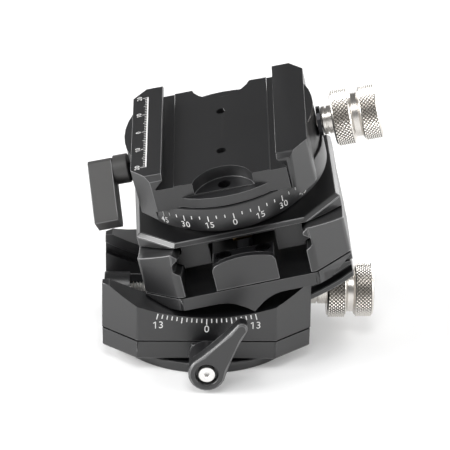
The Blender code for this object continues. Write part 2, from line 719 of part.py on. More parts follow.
def bevel_edges(piece, width, chosen):
    """Chamfer the edges that a test on their end points picks."""
    build = bmesh.new()
    build.from_mesh(piece.data)
    edges = [edge for edge in build.edges if chosen(edge.verts[0].co, edge.verts[1].co)]
    bmesh.ops.bevel(build, geom=edges, offset=width, segments=1, affect="EDGES", clamp_overlap=True)
    build.to_mesh(piece.data)
    build.free()
    return piece


def make_base_lever(frame):
    lever = prism("base_lever", lever_outline(), -LEVER_FRONT, -LEVER_FRONT + LEVER_PLATE, "y")
    face = -LEVER_FRONT + GAP

    def on_front(first, second):
        return first.y < face and second.y < face

    bevel_edges(lever, LEVER_EDGE_BEVEL, on_front)
    hub = rod("hub", LEVER_HUB_RADIUS - GAP, -LEVER_FRONT + LEVER_PLATE / 2.0, -LEVER_HUB_BACK,
              (0.0, 0.0, LEVER_AXIS_HEIGHT), "y", KNOB_SIDES)
    join(lever, hub)
    cut(lever, rod("bore", LEVER_SCREW_RADIUS + GAP, -LEVER_FRONT - OVERRUN, 0.0,
                   (0.0, 0.0, LEVER_AXIS_HEIGHT), "y"),
        rod("recess", LEVER_RECESS_RADIUS, -LEVER_FRONT - OVERRUN, -LEVER_FRONT + LEVER_RECESS_DEPTH,
            (0.0, 0.0, LEVER_AXIS_HEIGHT), "y"))
    frame.carry(lever, black_anodised())


def make_lever_screw(frame):
    seat = -LEVER_FRONT + LEVER_RECESS_DEPTH - GAP
    face = seat - LEVER_SCREW_HEAD
    profile = [(0.0, -LEVER_SCREW_TIP), (LEVER_SCREW_RADIUS, -LEVER_SCREW_TIP), (LEVER_SCREW_RADIUS, seat),
               (LEVER_SCREW_HEAD_RADIUS, seat), (LEVER_SCREW_HEAD_RADIUS, face), (0.0, face)]
    screw = turned("base_lever_screw", profile, (0.0, 0.0, LEVER_AXIS_HEIGHT), "y", PIN_SIDES)
    socket = rod("socket", LEVER_SOCKET_RADIUS, face - OVERRUN, face + LEVER_SOCKET_DEPTH,
                 (0.0, 0.0, LEVER_AXIS_HEIGHT), "y", 6)
    frame.carry(cut(screw, socket), stainless())


# Worm drives

def threaded_worm(name, half_length, shaft_low, shaft_high, centre, axis):
    """A right-hand worm: one helical tooth on its core, cut square at both ends, and its shaft.

    The tooth's crest lies on +Z at the middle of its length, where a gap of the rack meets it.
    """
    flank = WORM_PITCH * WORM_TOOTH_SHARE / 2.0
    section = [(WORM_ROOT_RADIUS, -flank), (WORM_CREST_RADIUS, 0.0), (WORM_ROOT_RADIUS, flank)]
    turns = ceil(half_length / WORM_PITCH) + 1
    rows = 3 * (2 * turns)
    build = bmesh.new()
    grid = []
    for column in range(WORM_SEGMENTS):
        angle = 2.0 * pi * column / WORM_SEGMENTS
        line = []
        for row in range(rows + 3):
            radius, shift = section[row % 3]
            along = (row // 3 - turns) * WORM_PITCH + shift + WORM_PITCH * column / WORM_SEGMENTS
            line.append(build.verts.new((along, -radius * sin(angle), radius * cos(angle))))
        grid.append(line)
    for column in range(WORM_SEGMENTS):
        last = column == WORM_SEGMENTS - 1
        beside = grid[0] if last else grid[column + 1]
        lead = 3 if last else 0
        for row in range(rows - 1):
            build.faces.new((grid[column][row], grid[column][row + 1],
                             beside[row + 1 + lead], beside[row + lead]))
    for row, level in ((0, -(turns + 1) * WORM_PITCH), (rows - 1, (turns + 1) * WORM_PITCH)):
        rim = [grid[column][row] for column in range(WORM_SEGMENTS)]
        rim += [grid[0][row + 3 - step] for step in range(3)] if row == 0 else []
        rim = rim if row == 0 else rim + [grid[0][row + 3 - step] for step in range(3)]
        hub = build.verts.new((level, 0.0, 0.0))
        for index, vert in enumerate(rim):
            build.faces.new((vert, rim[(index + 1) % len(rim)], hub))
    turn = Matrix.Identity(4) if axis == "x" else Matrix.Rotation(pi / 2.0, 4, "Z")
    stray = [vert for vert in build.verts if not vert.link_faces]
    bmesh.ops.delete(build, geom=stray, context="VERTS")
    bmesh.ops.transform(build, matrix=Matrix.Translation(centre) @ turn, verts=build.verts)
    worm = new_object(name, build)
    keep(worm, rod("blank", WORM_CREST_RADIUS + OVERRUN, -half_length, half_length, centre, axis))
    return join(worm, rod("shaft", WORM_SHAFT_RADIUS, shaft_low, shaft_high, centre, axis, HOLE_SIDES))


def rack(name, worm_radius, height, axis, rest, half_angle):
    """A brass strip bent to the slide's arc, with slanted teeth that mesh with the worm's thread.

    rest is the place on the level strip, as an angle, that stands over the worm in the resting pose,
    where a gap between two teeth takes the thread's crest.
    """
    tip = worm_radius - WORM_CREST_RADIUS + WORM_ENGAGEMENT
    root = tip - RACK_TOOTH_HEIGHT
    back = root - RACK_BACKING
    mesh_radius = tip - WORM_ENGAGEMENT / 2.0
    pitch = WORM_PITCH / mesh_radius
    thread_radius = WORM_CREST_RADIUS - WORM_ENGAGEMENT / 2.0
    slant = WORM_PITCH / (2.0 * pi * thread_radius) / mesh_radius
    phase = rest - round(rest / pitch) * pitch
    count = int(half_angle / pitch)
    base_half = pitch * RACK_BASE_SHARE / 2.0
    tip_half = pitch * RACK_TIP_SHARE / 2.0
    edge = [(root, phase - count * pitch)]
    for tooth in range(-count, count):
        middle = phase + (tooth + 0.5) * pitch
        edge += [(root, middle - base_half), (tip, middle - tip_half),
                 (tip, middle + tip_half), (root, middle + base_half)]
    edge.append((root, phase + count * pitch))
    spread = count * pitch
    backs = max(2, ceil(2.0 * spread / ARC_STEP))
    edge += [(back, phase + spread - 2.0 * spread * step / backs) for step in range(backs + 1)]
    build = bmesh.new()
    sides = []
    for side in (-RACK_HALF_WIDTH, RACK_HALF_WIDTH):
        ring = []
        for radius, place in edge:
            angle = place - side * slant if radius > back else place
            along = radius * sin(angle)
            level = height - radius * cos(angle)
            spot = (along, side, level) if axis == "y" else (-side, along, level)
            ring.append(build.verts.new(spot))
        sides.append(ring)
        build.faces.new(ring)
    low, high = sides
    for index in range(len(edge)):
        after = (index + 1) % len(edge)
        build.faces.new((low[index], low[after], high[after], high[index]))
    return new_object(name, build)


def knob(name, centre, axis, collar_start, ring_start, shaft_radius):
    """A turned double-ring knob whose collar faces the housing; distances run outwards."""
    first = ring_start + KNOB_RING_WIDTH
    second = first + KNOB_GROOVE_WIDTH
    end = second + KNOB_RING_WIDTH
    corner = KNOB_ROUND
    bore = shaft_radius + GAP
    profile = [(bore, collar_start), (KNOB_COLLAR_RADIUS, collar_start),
               (KNOB_COLLAR_RADIUS, ring_start),
               (KNOB_RING_RADIUS - corner, ring_start), (KNOB_RING_RADIUS, ring_start + corner),
               (KNOB_RING_RADIUS, first - corner), (KNOB_RING_RADIUS - corner, first),
               (KNOB_GROOVE_RADIUS, first), (KNOB_GROOVE_RADIUS, second),
               (KNOB_END_RADIUS - corner, second), (KNOB_END_RADIUS, second + corner),
               (KNOB_END_RADIUS, end - corner), (KNOB_END_RADIUS - corner, end),
               (bore, end)]
    return turned(name, profile, centre, axis, KNOB_SIDES)


def knob_end(ring_start):
    return ring_start + KNOB_RING_WIDTH + KNOB_GROOVE_WIDTH + KNOB_RING_WIDTH


def bushes(name, spans, radius, centre, axis):
    """Plain bronze bearings for a worm's shaft, one for each span along its axis."""
    bore = WORM_SHAFT_RADIUS + RUNNING
    return [turned(f"{name}_{number}", [(bore, low), (radius, low), (radius, high), (bore, high)],
                   centre, axis, PIN_SIDES) for number, (low, high) in enumerate(spans, 1)]


def make_lower_worm(base, spin):
    centre = (0.0, 0.0, LOWER_WORM_HEIGHT)
    spans = [(-PILLAR_OUTER, -PILLAR_INNER), (PILLAR_INNER, PILLAR_OUTER)]
    base.carry_all(bushes("lower_worm_bush", spans, BEARING_RADIUS, centre, "x"), brass())
    worm = threaded_worm("lower_worm", LOWER_WORM_HALF_LENGTH, -PILLAR_OUTER,
                         knob_end(LOWER_KNOB_START) - GAP, centre, "x")
    spin.carry(worm, stainless())
    spin.carry(knob("lower_knob", centre, "x", LOWER_COLLAR_START, LOWER_KNOB_START,
                    WORM_SHAFT_RADIUS), stainless())


# Carriage: plate, lower slide with its rack, guide rails and bearing blocks

def make_carriage_plate(frame):
    plate = prism("carriage_plate", body_outline(), CARRIAGE_PLATE_BOTTOM, CARRIAGE_PLATE_TOP)
    clear = LOWER_ARC_RADIUS - PLATE_SWEEP_GAP
    inner = SLIDE_NECK_HALF - GAP
    outer = BODY_HALF_DEPTH + OVERRUN
    reach = asin((BODY_HALF_WIDTH + OVERRUN) / clear)
    for sign in (-1, 1):
        section = [(sign * inner, clear), (sign * outer, clear),
                   (sign * outer, clear + OVERRUN + OVERRUN), (sign * inner, clear + OVERRUN + OVERRUN)]
        cut(plate, swept("arch", section, "y", LOWER_AXIS_HEIGHT, -reach, reach))
    root = CARRIAGE_PLATE_BOTTOM + PLATE_SWEEP_GAP
    bell = []
    for step in range(-POINTER_STEPS, POINTER_STEPS + 1):
        share = step / POINTER_STEPS
        drop = POINTER_DROP * (1.0 - abs(share)) ** 2
        bell.append((POINTER_HALF_WIDTH * share, CARRIAGE_PLATE_BOTTOM - drop))
    bell += [(POINTER_HALF_WIDTH, root), (-POINTER_HALF_WIDTH, root)]
    join(plate, prism("pointer", bell, -BODY_HALF_DEPTH, -BODY_HALF_DEPTH + POINTER_DEPTH, "y"))
    for x, y in slide_screw_places():
        screw_hole(plate, x, y, CARRIAGE_PLATE_TOP, CARRIAGE_PLATE_BOTTOM, -1.0)
    for x, y in rail_screw_places():
        screw_hole(plate, x, y, CARRIAGE_PLATE_BOTTOM, CARRIAGE_PLATE_TOP, 1.0)
    for x, y in block_screw_places():
        foot = block_screw_foot() - GAP
        cut(plate, rod("hole", BLOCK_SCREW_RADIUS + GAP, foot, CARRIAGE_PLATE_TOP + OVERRUN,
                       (x, y, 0.0), sides=SCREW_SIDES))
    frame.carry(plate, black_anodised())


def slide_screw_places():
    return [(0.0, end * SLIDE_SCREW_Y) for end in (-1, 1)]


def rail_screw_places():
    return [(side * RAIL_SCREW_X, end * RAIL_SCREW_Y) for side in (-1, 1) for end in (-1, 1)]


def block_screw_places():
    setback = BODY_HALF_DEPTH - BLOCK_SCREW_SETBACK
    return [(side * BLOCK_SCREW_X, end * setback) for side in (-1, 1) for end in (-1, 1)]


def block_screw_foot():
    return CARRIAGE_PLATE_TOP + GAP + BLOCK_SCREW_SEAT - BLOCK_SCREW_LENGTH


def screw_hole(piece, x, y, head_face, far_face, way):
    """A counterbored through hole; way is -1 when the screw points down from head_face."""
    ends = sorted((head_face - way * OVERRUN, far_face + way * OVERRUN))
    seats = sorted((head_face - way * OVERRUN, head_face + way * (HIDDEN_HEAD_HEIGHT + GAP)))
    cut(piece, rod("hole", HIDDEN_SCREW_RADIUS + GAP, *ends, (x, y, 0.0), sides=SCREW_SIDES),
        rod("seat", HIDDEN_HEAD_RADIUS + GAP, *seats, (x, y, 0.0), sides=SCREW_SIDES))


def screws(name, places, head_face, way):
    """Flat-headed screws set flush with head_face; way is -1 when they point down."""
    pieces = []
    for number, (x, y) in enumerate(places, 1):
        face = head_face + way * GAP / 2.0
        under = face + way * HIDDEN_HEAD_HEIGHT
        tip = face + way * HIDDEN_SCREW_LENGTH
        profile = [(0.0, tip), (HIDDEN_SCREW_RADIUS, tip), (HIDDEN_SCREW_RADIUS, under),
                   (HIDDEN_HEAD_RADIUS, under), (HIDDEN_HEAD_RADIUS, face), (0.0, face)]
        pieces.append(turned(f"{name}_{number}", profile, (x, y, 0.0), "z", SCREW_SIDES))
    return pieces


def blind_holes(piece, places, head_face, way):
    """The tapped holes that flush screws run into, beyond the piece that carries their heads."""
    ends = sorted((head_face, head_face + way * (HIDDEN_SCREW_LENGTH + GAP + GAP)))
    for x, y in places:
        cut(piece, rod("hole", HIDDEN_SCREW_RADIUS + GAP, *ends, (x, y, 0.0), sides=SCREW_SIDES))


def make_lower_slide(frame):
    radius = LOWER_ARC_RADIUS
    bottom = radius + SLIDE_DEPTH
    ceiling = rack_back(LOWER_WORM_RADIUS) - GAP
    tongue = radius + SLIDE_TONGUE_TOP
    top = radius - SLIDE_DEPTH
    section = [(-SLIDE_NECK_HALF, top), (SLIDE_NECK_HALF, top), (SLIDE_NECK_HALF, tongue),
               (SLIDE_TONGUE_REACH, tongue + SLIDE_TONGUE_BEVEL), (SLIDE_TONGUE_REACH, bottom),
               (SLIDE_CHANNEL_HALF, bottom), (SLIDE_CHANNEL_HALF, ceiling),
               (-SLIDE_CHANNEL_HALF, ceiling), (-SLIDE_CHANNEL_HALF, bottom),
               (-SLIDE_TONGUE_REACH, bottom), (-SLIDE_TONGUE_REACH, tongue + SLIDE_TONGUE_BEVEL),
               (-SLIDE_NECK_HALF, tongue)]
    reach = asin((SLIDE_END + OVERRUN) / top)
    slide = swept("lower_slide", section, "y", LOWER_AXIS_HEIGHT, -reach, reach)
    deep = SLIDE_TONGUE_REACH + OVERRUN
    low = LOWER_AXIS_HEIGHT - bottom - OVERRUN
    high = CARRIAGE_PLATE_BOTTOM - GAP
    keep(slide, prism("limit", [(-SLIDE_END, low), (SLIDE_END, low), (SLIDE_END, high),
                                (-SLIDE_END, high)], -deep, deep, "y"))
    blind_holes(slide, slide_screw_places(), CARRIAGE_PLATE_TOP, -1.0)
    frame.carry(slide, black_anodised())
    frame.carry(rack("lower_rack", LOWER_WORM_RADIUS, LOWER_AXIS_HEIGHT, "y", LOWER_TILT,
                     RACK_HALF_ANGLE), brass())
    frame.carry_all(screws("slide_screw", slide_screw_places(), CARRIAGE_PLATE_TOP, -1.0), stainless())


def rack_back(worm_radius):
    return worm_radius - WORM_CREST_RADIUS + WORM_ENGAGEMENT - RACK_TOOTH_HEIGHT - RACK_BACKING


def make_guide_rail(frame, name, sign):
    low = CARRIAGE_PLATE_TOP + GAP
    high = UPPER_AXIS_HEIGHT - RAIL_TOP_RADIUS * cos(asin(BODY_HALF_DEPTH / RAIL_TOP_RADIUS)) + OVERRUN
    outline = [(sign * x, y) for x, y in
               [(RAIL_INNER, -BODY_HALF_DEPTH), (BODY_FRONT_HALF, -BODY_HALF_DEPTH),
                (BODY_HALF_WIDTH, -BODY_SIDE_HALF), (BODY_HALF_WIDTH, BODY_SIDE_HALF),
                (BODY_FRONT_HALF, BODY_HALF_DEPTH), (RAIL_INNER, BODY_HALF_DEPTH)]]
    rail = prism(name, outline, low, high)
    span = BODY_HALF_WIDTH + OVERRUN
    cut(rail, rod("arc_top", RAIL_TOP_RADIUS, -span, span, (0.0, 0.0, UPPER_AXIS_HEIGHT), "x",
                  int(2.0 * pi / ARC_STEP)))
    past = OVERRUN / 4.0
    chamfer = [(RAIL_INNER - past, RAIL_TOP_RADIUS - past),
               (RAIL_INNER + RAIL_CHAMFER + past, RAIL_TOP_RADIUS - past),
               (RAIL_INNER - past, RAIL_TOP_RADIUS + RAIL_CHAMFER + past)]
    top = RAIL_TOP_RADIUS + RAIL_CHAMFER + RAIL_LIP
    wall = top + GROOVE_BEVEL
    floor = wall + GROOVE_FLOOR
    rise = past * GROOVE_BEVEL / GROOVE_DEPTH
    groove = [(RAIL_INNER - past, top - rise), (RAIL_INNER + GROOVE_DEPTH, wall),
              (RAIL_INNER + GROOVE_DEPTH, floor), (RAIL_INNER - past, floor + GROOVE_UNDERCUT + rise)]
    reach = asin((BODY_HALF_DEPTH + OVERRUN) / RAIL_TOP_RADIUS)
    for profile in (chamfer, groove):
        section = [(sign * side, radius) for side, radius in profile]
        cut(rail, swept("groove", section, "x", UPPER_AXIS_HEIGHT, -reach, reach))
    blind_holes(rail, [place for place in rail_screw_places() if place[0] * sign > 0.0],
                CARRIAGE_PLATE_BOTTOM, 1.0)
    frame.carry(rail, black_anodised())


def make_worm_block(frame, name, sign):
    """A bearing block: an arched end plate with a lower body behind it, on the carriage plate."""
    foot = CARRIAGE_PLATE_TOP + GAP
    shoulder = foot + BLOCK_SHOULDER
    brow = BLOCK_HALF_WIDTH - BLOCK_CORNER
    spring = shoulder + BLOCK_CORNER_RISE
    crown = foot + BLOCK_RISE
    rise = crown - spring
    radius = (rise * rise + brow * brow) / (2.0 * rise)
    outline = [(-BLOCK_HALF_WIDTH, foot), (BLOCK_HALF_WIDTH, foot), (BLOCK_HALF_WIDTH, shoulder)]
    for step in range(BLOCK_ARC_STEPS + 1):
        x = brow * (1.0 - 2.0 * step / BLOCK_ARC_STEPS)
        outline.append((x, crown - radius + sqrt(radius * radius - x * x)))
    outline.append((-BLOCK_HALF_WIDTH, shoulder))
    face = sign * BODY_HALF_DEPTH
    behind = face - sign * BLOCK_FACE
    end = face - sign * BLOCK_DEPTH
    block = prism(name, outline, *sorted((face, behind)), "y")
    back_top = foot + BLOCK_BACK_RISE
    half = BLOCK_HALF_WIDTH - GAP
    back = [(-half, foot), (half, foot), (half, back_top), (-half, back_top)]
    join(block, prism("back", back, *sorted((behind + sign * BLOCK_FACE / 2.0, end)), "y"))
    bore_end = face + sign * OVERRUN if sign > 0 else behind
    bore = sorted((end - sign * OVERRUN, bore_end))
    cut(block, rod("bore", BEARING_RADIUS + GAP, *bore, (0.0, 0.0, UPPER_WORM_HEIGHT), "y"))
    seat = foot + BLOCK_SCREW_SEAT
    for x, y in block_screw_places():
        if y * sign > 0.0:
            cut(block, rod("hole", BLOCK_SCREW_RADIUS + GAP, foot - OVERRUN, back_top + OVERRUN,
                           (x, y, 0.0), sides=SCREW_SIDES),
                rod("seat", BLOCK_SCREW_HEAD + GAP, seat - GAP, back_top + OVERRUN, (x, y, 0.0),
                    sides=PIN_SIDES))
    frame.carry(block, black_anodised())


def make_block_screws(frame):
    seat = CARRIAGE_PLATE_TOP + GAP + BLOCK_SCREW_SEAT
    top = seat + BLOCK_SCREW_HEAD_HEIGHT
    foot = block_screw_foot()
    pieces = []
    for number, (x, y) in enumerate(block_screw_places(), 1):
        profile = [(0.0, foot), (BLOCK_SCREW_RADIUS, foot), (BLOCK_SCREW_RADIUS, seat),
                   (BLOCK_SCREW_HEAD, seat), (BLOCK_SCREW_HEAD, top), (0.0, top)]
        screw = turned(f"worm_block_screw_{number}", profile, (x, y, 0.0), "z", PIN_SIDES)
        pieces.append(cut(screw, rod("socket", BLOCK_SCREW_SOCKET, top - BLOCK_SCREW_SOCKET_DEPTH,
                                     top + OVERRUN, (x, y, 0.0), sides=6)))
    frame.carry_all(pieces, black_steel())


def make_upper_worm(carriage, spin):
    centre = (0.0, 0.0, UPPER_WORM_HEIGHT)
    inner = BODY_HALF_DEPTH - BLOCK_DEPTH
    blind = BODY_HALF_DEPTH - BLOCK_FACE - GAP
    spans = [(-blind, -inner), (inner, BODY_HALF_DEPTH)]
    carriage.carry_all(bushes("upper_worm_bush", spans, BEARING_RADIUS, centre, "y"), brass())
    worm = threaded_worm("upper_worm", UPPER_WORM_HALF_LENGTH, -blind,
                         knob_end(UPPER_KNOB_START) - GAP, centre, "y")
    spin.carry(worm, stainless())
    spin.carry(knob("upper_knob", centre, "y", UPPER_COLLAR_START, UPPER_KNOB_START,
                    WORM_SHAFT_RADIUS), stainless())


# Tilting plate with the upper slide, the scale ring and the pan spindle

def tilt_outline():
    return eight_sided(TILT_HALF_WIDTH, TILT_FRONT_HALF, TILT_HALF_DEPTH, TILT_SIDE_HALF)


def upper_screw_places():
    return [(side * UPPER_SCREW_X, 0.0) for side in (-1, 1)]


def ring_screw_places():
    return [(0.0, end * RING_SCREW_Y) for end in (-1, 1)]


def make_tilt_plate(frame):
    outline = tilt_outline()
    low = UPPER_AXIS_HEIGHT - TILT_UNDERSIDE_RADIUS - OVERRUN
    plate = stepped_prism("tilt_plate", [(outline, low),
                                         (outline, TILT_PLATE_TOP - TILT_PLATE_CHAMFER),
                                         (inset(outline, TILT_PLATE_CHAMFER), TILT_PLATE_TOP)])
    span = TILT_HALF_WIDTH + OVERRUN
    disc = rod("underside", TILT_UNDERSIDE_RADIUS, -span, span, (0.0, 0.0, UPPER_AXIS_HEIGHT), "x",
               int(2.0 * pi / ARC_STEP))
    keep(plate, disc)
    for x, y in upper_screw_places():
        screw_hole(plate, x, y, TILT_PLATE_TOP, low - OVERRUN, -1.0)
    blind_holes(plate, ring_screw_places(), RING_SCREW_FACE, -1.0)
    frame.carry(plate, black_anodised())


def make_upper_slide(frame):
    top = TILT_UNDERSIDE_RADIUS + GAP
    bottom = top - RUNNING + UPPER_SLIDE_DEPTH
    ceiling = rack_back(UPPER_WORM_RADIUS) - GAP
    neck = RAIL_INNER - RUNNING
    lip = RAIL_TOP_RADIUS + RAIL_CHAMFER + RAIL_LIP + RUNNING
    wall = lip + TONGUE_BEVEL
    under = wall + TONGUE_WALL
    reach = neck + GROOVE_DEPTH
    root = under + TONGUE_UNDERCUT
    half = [(neck, top), (neck, lip), (reach, wall), (reach, under), (neck, root), (neck, bottom),
            (UPPER_CHANNEL_HALF, bottom), (UPPER_CHANNEL_HALF, ceiling)]
    section = half + [(-side, radius) for side, radius in reversed(half)]
    slide = swept("upper_slide", section, "x", UPPER_AXIS_HEIGHT, -UPPER_SLIDE_HALF_ANGLE,
                  UPPER_SLIDE_HALF_ANGLE)
    blind_holes(slide, upper_screw_places(), TILT_PLATE_TOP, -1.0)
    frame.carry(slide, black_anodised())
    frame.carry(rack("upper_rack", UPPER_WORM_RADIUS, UPPER_AXIS_HEIGHT, "x", -UPPER_TILT,
                     RACK_HALF_ANGLE), brass())
    frame.carry_all(screws("upper_slide_screw", upper_screw_places(), TILT_PLATE_TOP, -1.0), stainless())


def make_scale_ring(frame):
    bore = SPINDLE_RADIUS + RUNNING
    foot = TILT_PLATE_TOP + GAP
    profile = [(bore, foot), (RING_NECK_RADIUS, foot), (RING_NECK_RADIUS, RING_BOTTOM),
               (RING_RADIUS - RING_CHAMFER, RING_BOTTOM), (RING_RADIUS, RING_BOTTOM + RING_CHAMFER),
               (RING_RADIUS, RING_TOP - RING_CHAMFER), (RING_RADIUS - RING_CHAMFER, RING_TOP),
               (bore, RING_TOP)]
    ring = turned("pan_scale_ring", profile)
    for x, y in ring_screw_places():
        cut(ring, rod("hole", HIDDEN_SCREW_RADIUS + GAP, foot - OVERRUN, RING_TOP, (x, y, 0.0),
                      sides=SCREW_SIDES),
            rod("seat", HIDDEN_HEAD_RADIUS + GAP, RING_SCREW_FACE - HIDDEN_HEAD_HEIGHT - GAP,
                RING_TOP + OVERRUN, (x, y, 0.0), sides=SCREW_SIDES))
    frame.carry(ring, black_anodised())
    frame.carry_all(screws("ring_screw", ring_screw_places(), RING_SCREW_FACE, -1.0), stainless())


def make_pan_spindle(frame):
    foot = TILT_PLATE_TOP + GAP
    waist = SPINDLE_RADIUS - SPINDLE_WAIST
    profile = [(0.0, foot), (SPINDLE_RADIUS, foot),
               (SPINDLE_RADIUS, PADDLE_AXIS_HEIGHT - SPINDLE_WAIST_HALF),
               (waist, PADDLE_AXIS_HEIGHT), (SPINDLE_RADIUS, PADDLE_AXIS_HEIGHT + SPINDLE_WAIST_HALF),
               (SPINDLE_RADIUS, SPINDLE_TOP), (0.0, SPINDLE_TOP)]
    frame.carry(turned("pan_spindle", profile, sides=KNOB_SIDES), stainless())


# Dovetail clamp

def clamp_plan():
    return [(CLAMP_CORNER_END, -CLAMP_HALF_LENGTH), (CLAMP_HALF_WIDTH, -CLAMP_CORNER_SIDE),
            (CLAMP_HALF_WIDTH, CLAMP_CORNER_SIDE), (CLAMP_CORNER_END, CLAMP_HALF_LENGTH),
            (-CLAMP_CORNER_END, CLAMP_HALF_LENGTH), (-CLAMP_HALF_WIDTH, CLAMP_CORNER_SIDE),
            (-CLAMP_HALF_WIDTH, -CLAMP_CORNER_SIDE), (-CLAMP_CORNER_END, -CLAMP_HALF_LENGTH)]


def box(name, x_range, y_range, z_range):
    outline = [(x_range[0], y_range[0]), (x_range[1], y_range[0]), (x_range[1], y_range[1]),
               (x_range[0], y_range[1])]
    return prism(name, outline, *z_range)


def clamp_blank(name):
    """The whole clamp's outer form: a rectangle with cut corners and a disc's round sides."""
    blank = prism(name, clamp_plan(), CLAMP_SKIRT, CLAMP_JAW_TOP)
    wide = CLAMP_DISC_RADIUS + OVERRUN
    disc = rod("disc", CLAMP_DISC_RADIUS, CLAMP_BOTTOM, CLAMP_JAW_TOP - GAP, sides=DISC_SIDES)
    for sign in (-1, 1):
        near, far = sorted((sign * (CLAMP_HALF_LENGTH - GAP), sign * wide))
        cut(disc, box("flat", (-wide, wide), (near, far), (CLAMP_LEDGE, CLAMP_JAW_TOP + OVERRUN)))
    join(blank, disc)
    below = CLAMP_SKIRT - OVERRUN
    cut(blank, rod("ring_room", RING_RADIUS + RING_CLEARANCE, below, CLAMP_BOTTOM, sides=DISC_SIDES))
    for sign in (-1, 1):
        near, far = sorted((sign * CLAMP_WINDOW_DEPTH, sign * wide))
        cut(blank, box("window", (-CLAMP_WINDOW_HALF, CLAMP_WINDOW_HALF), (near, far),
                       (below, CLAMP_BOTTOM - GAP)))
        cut(blank, rod("pocket", POCKET_RADIUS, CLAMP_LEDGE + GAP, CLAMP_JAW_TOP + OVERRUN,
                       (0.0, sign * POCKET_CENTRE, 0.0), sides=KNOB_SIDES))
    half = CLAMP_HALF_LENGTH
    top = CLAMP_JAW_TOP
    for sign in (-1, 1):
        wedge = [(sign * (half - CLAMP_END_CHAMFER - OVERRUN), top + OVERRUN),
                 (sign * (half + OVERRUN), top + OVERRUN),
                 (sign * (half + OVERRUN), top - CLAMP_END_CHAMFER - OVERRUN)]
        cut(blank, prism("end_chamfer", wedge, -wide, wide, "x"))
    return blank


def lip_profile(lip, wall, floor):
    """Undercut of a dovetail jaw, drawn in (x, z): a short upright nose over a 45 degree face."""
    nose = CLAMP_JAW_TOP - CLAMP_LIP_DEPTH
    return [(0.0, CLAMP_JAW_TOP + OVERRUN), (lip, CLAMP_JAW_TOP + OVERRUN), (lip, nose),
            (wall, nose - abs(wall - lip)), (wall, floor), (0.0, floor)]


def make_clamp_body(frame):
    body = clamp_blank("clamp_body")
    wide = CLAMP_DISC_RADIUS + OVERRUN
    over = CLAMP_JAW_TOP + OVERRUN
    cut(body, box("jaw_room", (CLAMP_SEAM, wide), (-wide, wide), (CLAMP_SKIRT - OVERRUN, over)))
    strip = CLAMP_DECK - CLAMP_STRIP_STEP
    channel = lip_profile(-CLAMP_FIXED_LIP, -CLAMP_FIXED_LIP - CLAMP_UNDERCUT, CLAMP_DECK)
    cut(body, prism("channel", channel, -wide, wide, "y"))
    cut(body, box("near_half", (-GAP, wide), (-wide, wide), (CLAMP_DECK, over)))
    wall = CLAMP_FIXED_LIP + CLAMP_UNDERCUT
    cut(body, box("strip", (-wall, -CLAMP_PAD_HALF), (-wide, wide), (strip, CLAMP_DECK + GAP)),
        box("strip", (CLAMP_PAD_HALF, wide), (-wide, wide), (strip, CLAMP_DECK + GAP)))
    cut(body, rod("spindle_bore", SPINDLE_RADIUS + RUNNING, CLAMP_SKIRT, SPINDLE_TOP + RUNNING,
                  sides=KNOB_SIDES))
    for sign in (-1, 1):
        cut(body, rod("pocket_hole", POCKET_HOLE_RADIUS, CLAMP_SKIRT, CLAMP_DECK,
                      (0.0, sign * POCKET_HOLE_Y, 0.0), sides=HOLE_SIDES),
            rod("deck_hole", DECK_HOLE_RADIUS, CLAMP_DECK - DECK_HOLE_DEPTH, CLAMP_DECK + OVERRUN,
                (0.0, sign * DECK_HOLE_Y, 0.0), sides=HOLE_SIDES),
            rod("guide_hole", GUIDE_PIN_RADIUS + GAP, GUIDE_PIN_START - GAP, wide,
                (0.0, sign * GUIDE_PIN_Y, GUIDE_PIN_HEIGHT), "x", HOLE_SIDES))
    cut(body, rod("clamp_screw_hole", CLAMP_SCREW_RADIUS + GAP, CLAMP_SCREW_TIP - GAP, wide,
                  (0.0, 0.0, CLAMP_SCREW_HEIGHT), "x", HOLE_SIDES),
        rod("lever_screw_hole", PADDLE_SCREW_RADIUS + GAP, -wide, -SPINDLE_RADIUS,
            (0.0, PADDLE_AXIS_Y, PADDLE_AXIS_HEIGHT), "x", HOLE_SIDES))
    frame.carry(body, black_anodised())


def make_movable_jaw(frame):
    jaw = clamp_blank("movable_jaw")
    wide = CLAMP_DISC_RADIUS + OVERRUN
    below = CLAMP_SKIRT - OVERRUN
    over = CLAMP_JAW_TOP + OVERRUN
    seam = CLAMP_SEAM + GAP
    floor = CLAMP_DECK - CLAMP_STRIP_STEP + GAP
    cut(jaw, box("body_room", (-wide, seam), (-wide, wide), (below, floor)),
        box("body_room", (-wide, 0.0), (-wide, wide), (below, over)))
    wall = CLAMP_MOVING_LIP + JAW_UNDERCUT
    cut(jaw, prism("channel", [(-GAP, over), (CLAMP_MOVING_LIP, over),
                               (CLAMP_MOVING_LIP, CLAMP_JAW_TOP - CLAMP_LIP_DEPTH),
                               (wall, CLAMP_JAW_TOP - CLAMP_LIP_DEPTH - JAW_UNDERCUT),
                               (wall, floor - GAP - GAP), (-GAP, floor - GAP - GAP)], -wide, wide, "y"))
    for sign in (-1, 1):
        cut(jaw, rod("guide_hole", GUIDE_PIN_RADIUS + GAP, 0.0, GUIDE_PIN_END + GAP,
                     (0.0, sign * GUIDE_PIN_Y, GUIDE_PIN_HEIGHT), "x", HOLE_SIDES))
    cut(jaw, rod("clamp_screw_hole", CLAMP_SCREW_RADIUS + GAP, 0.0, wide,
                 (0.0, 0.0, CLAMP_SCREW_HEIGHT), "x", HOLE_SIDES))
    frame.carry(jaw, black_anodised())
    pins = [rod(f"jaw_guide_pin_{number}", GUIDE_PIN_RADIUS, GUIDE_PIN_START, GUIDE_PIN_END,
                (0.0, sign * GUIDE_PIN_Y, GUIDE_PIN_HEIGHT), "x", HOLE_SIDES)
            for number, sign in enumerate((-1, 1), 1)]
    frame.carry_all(pins, stainless())


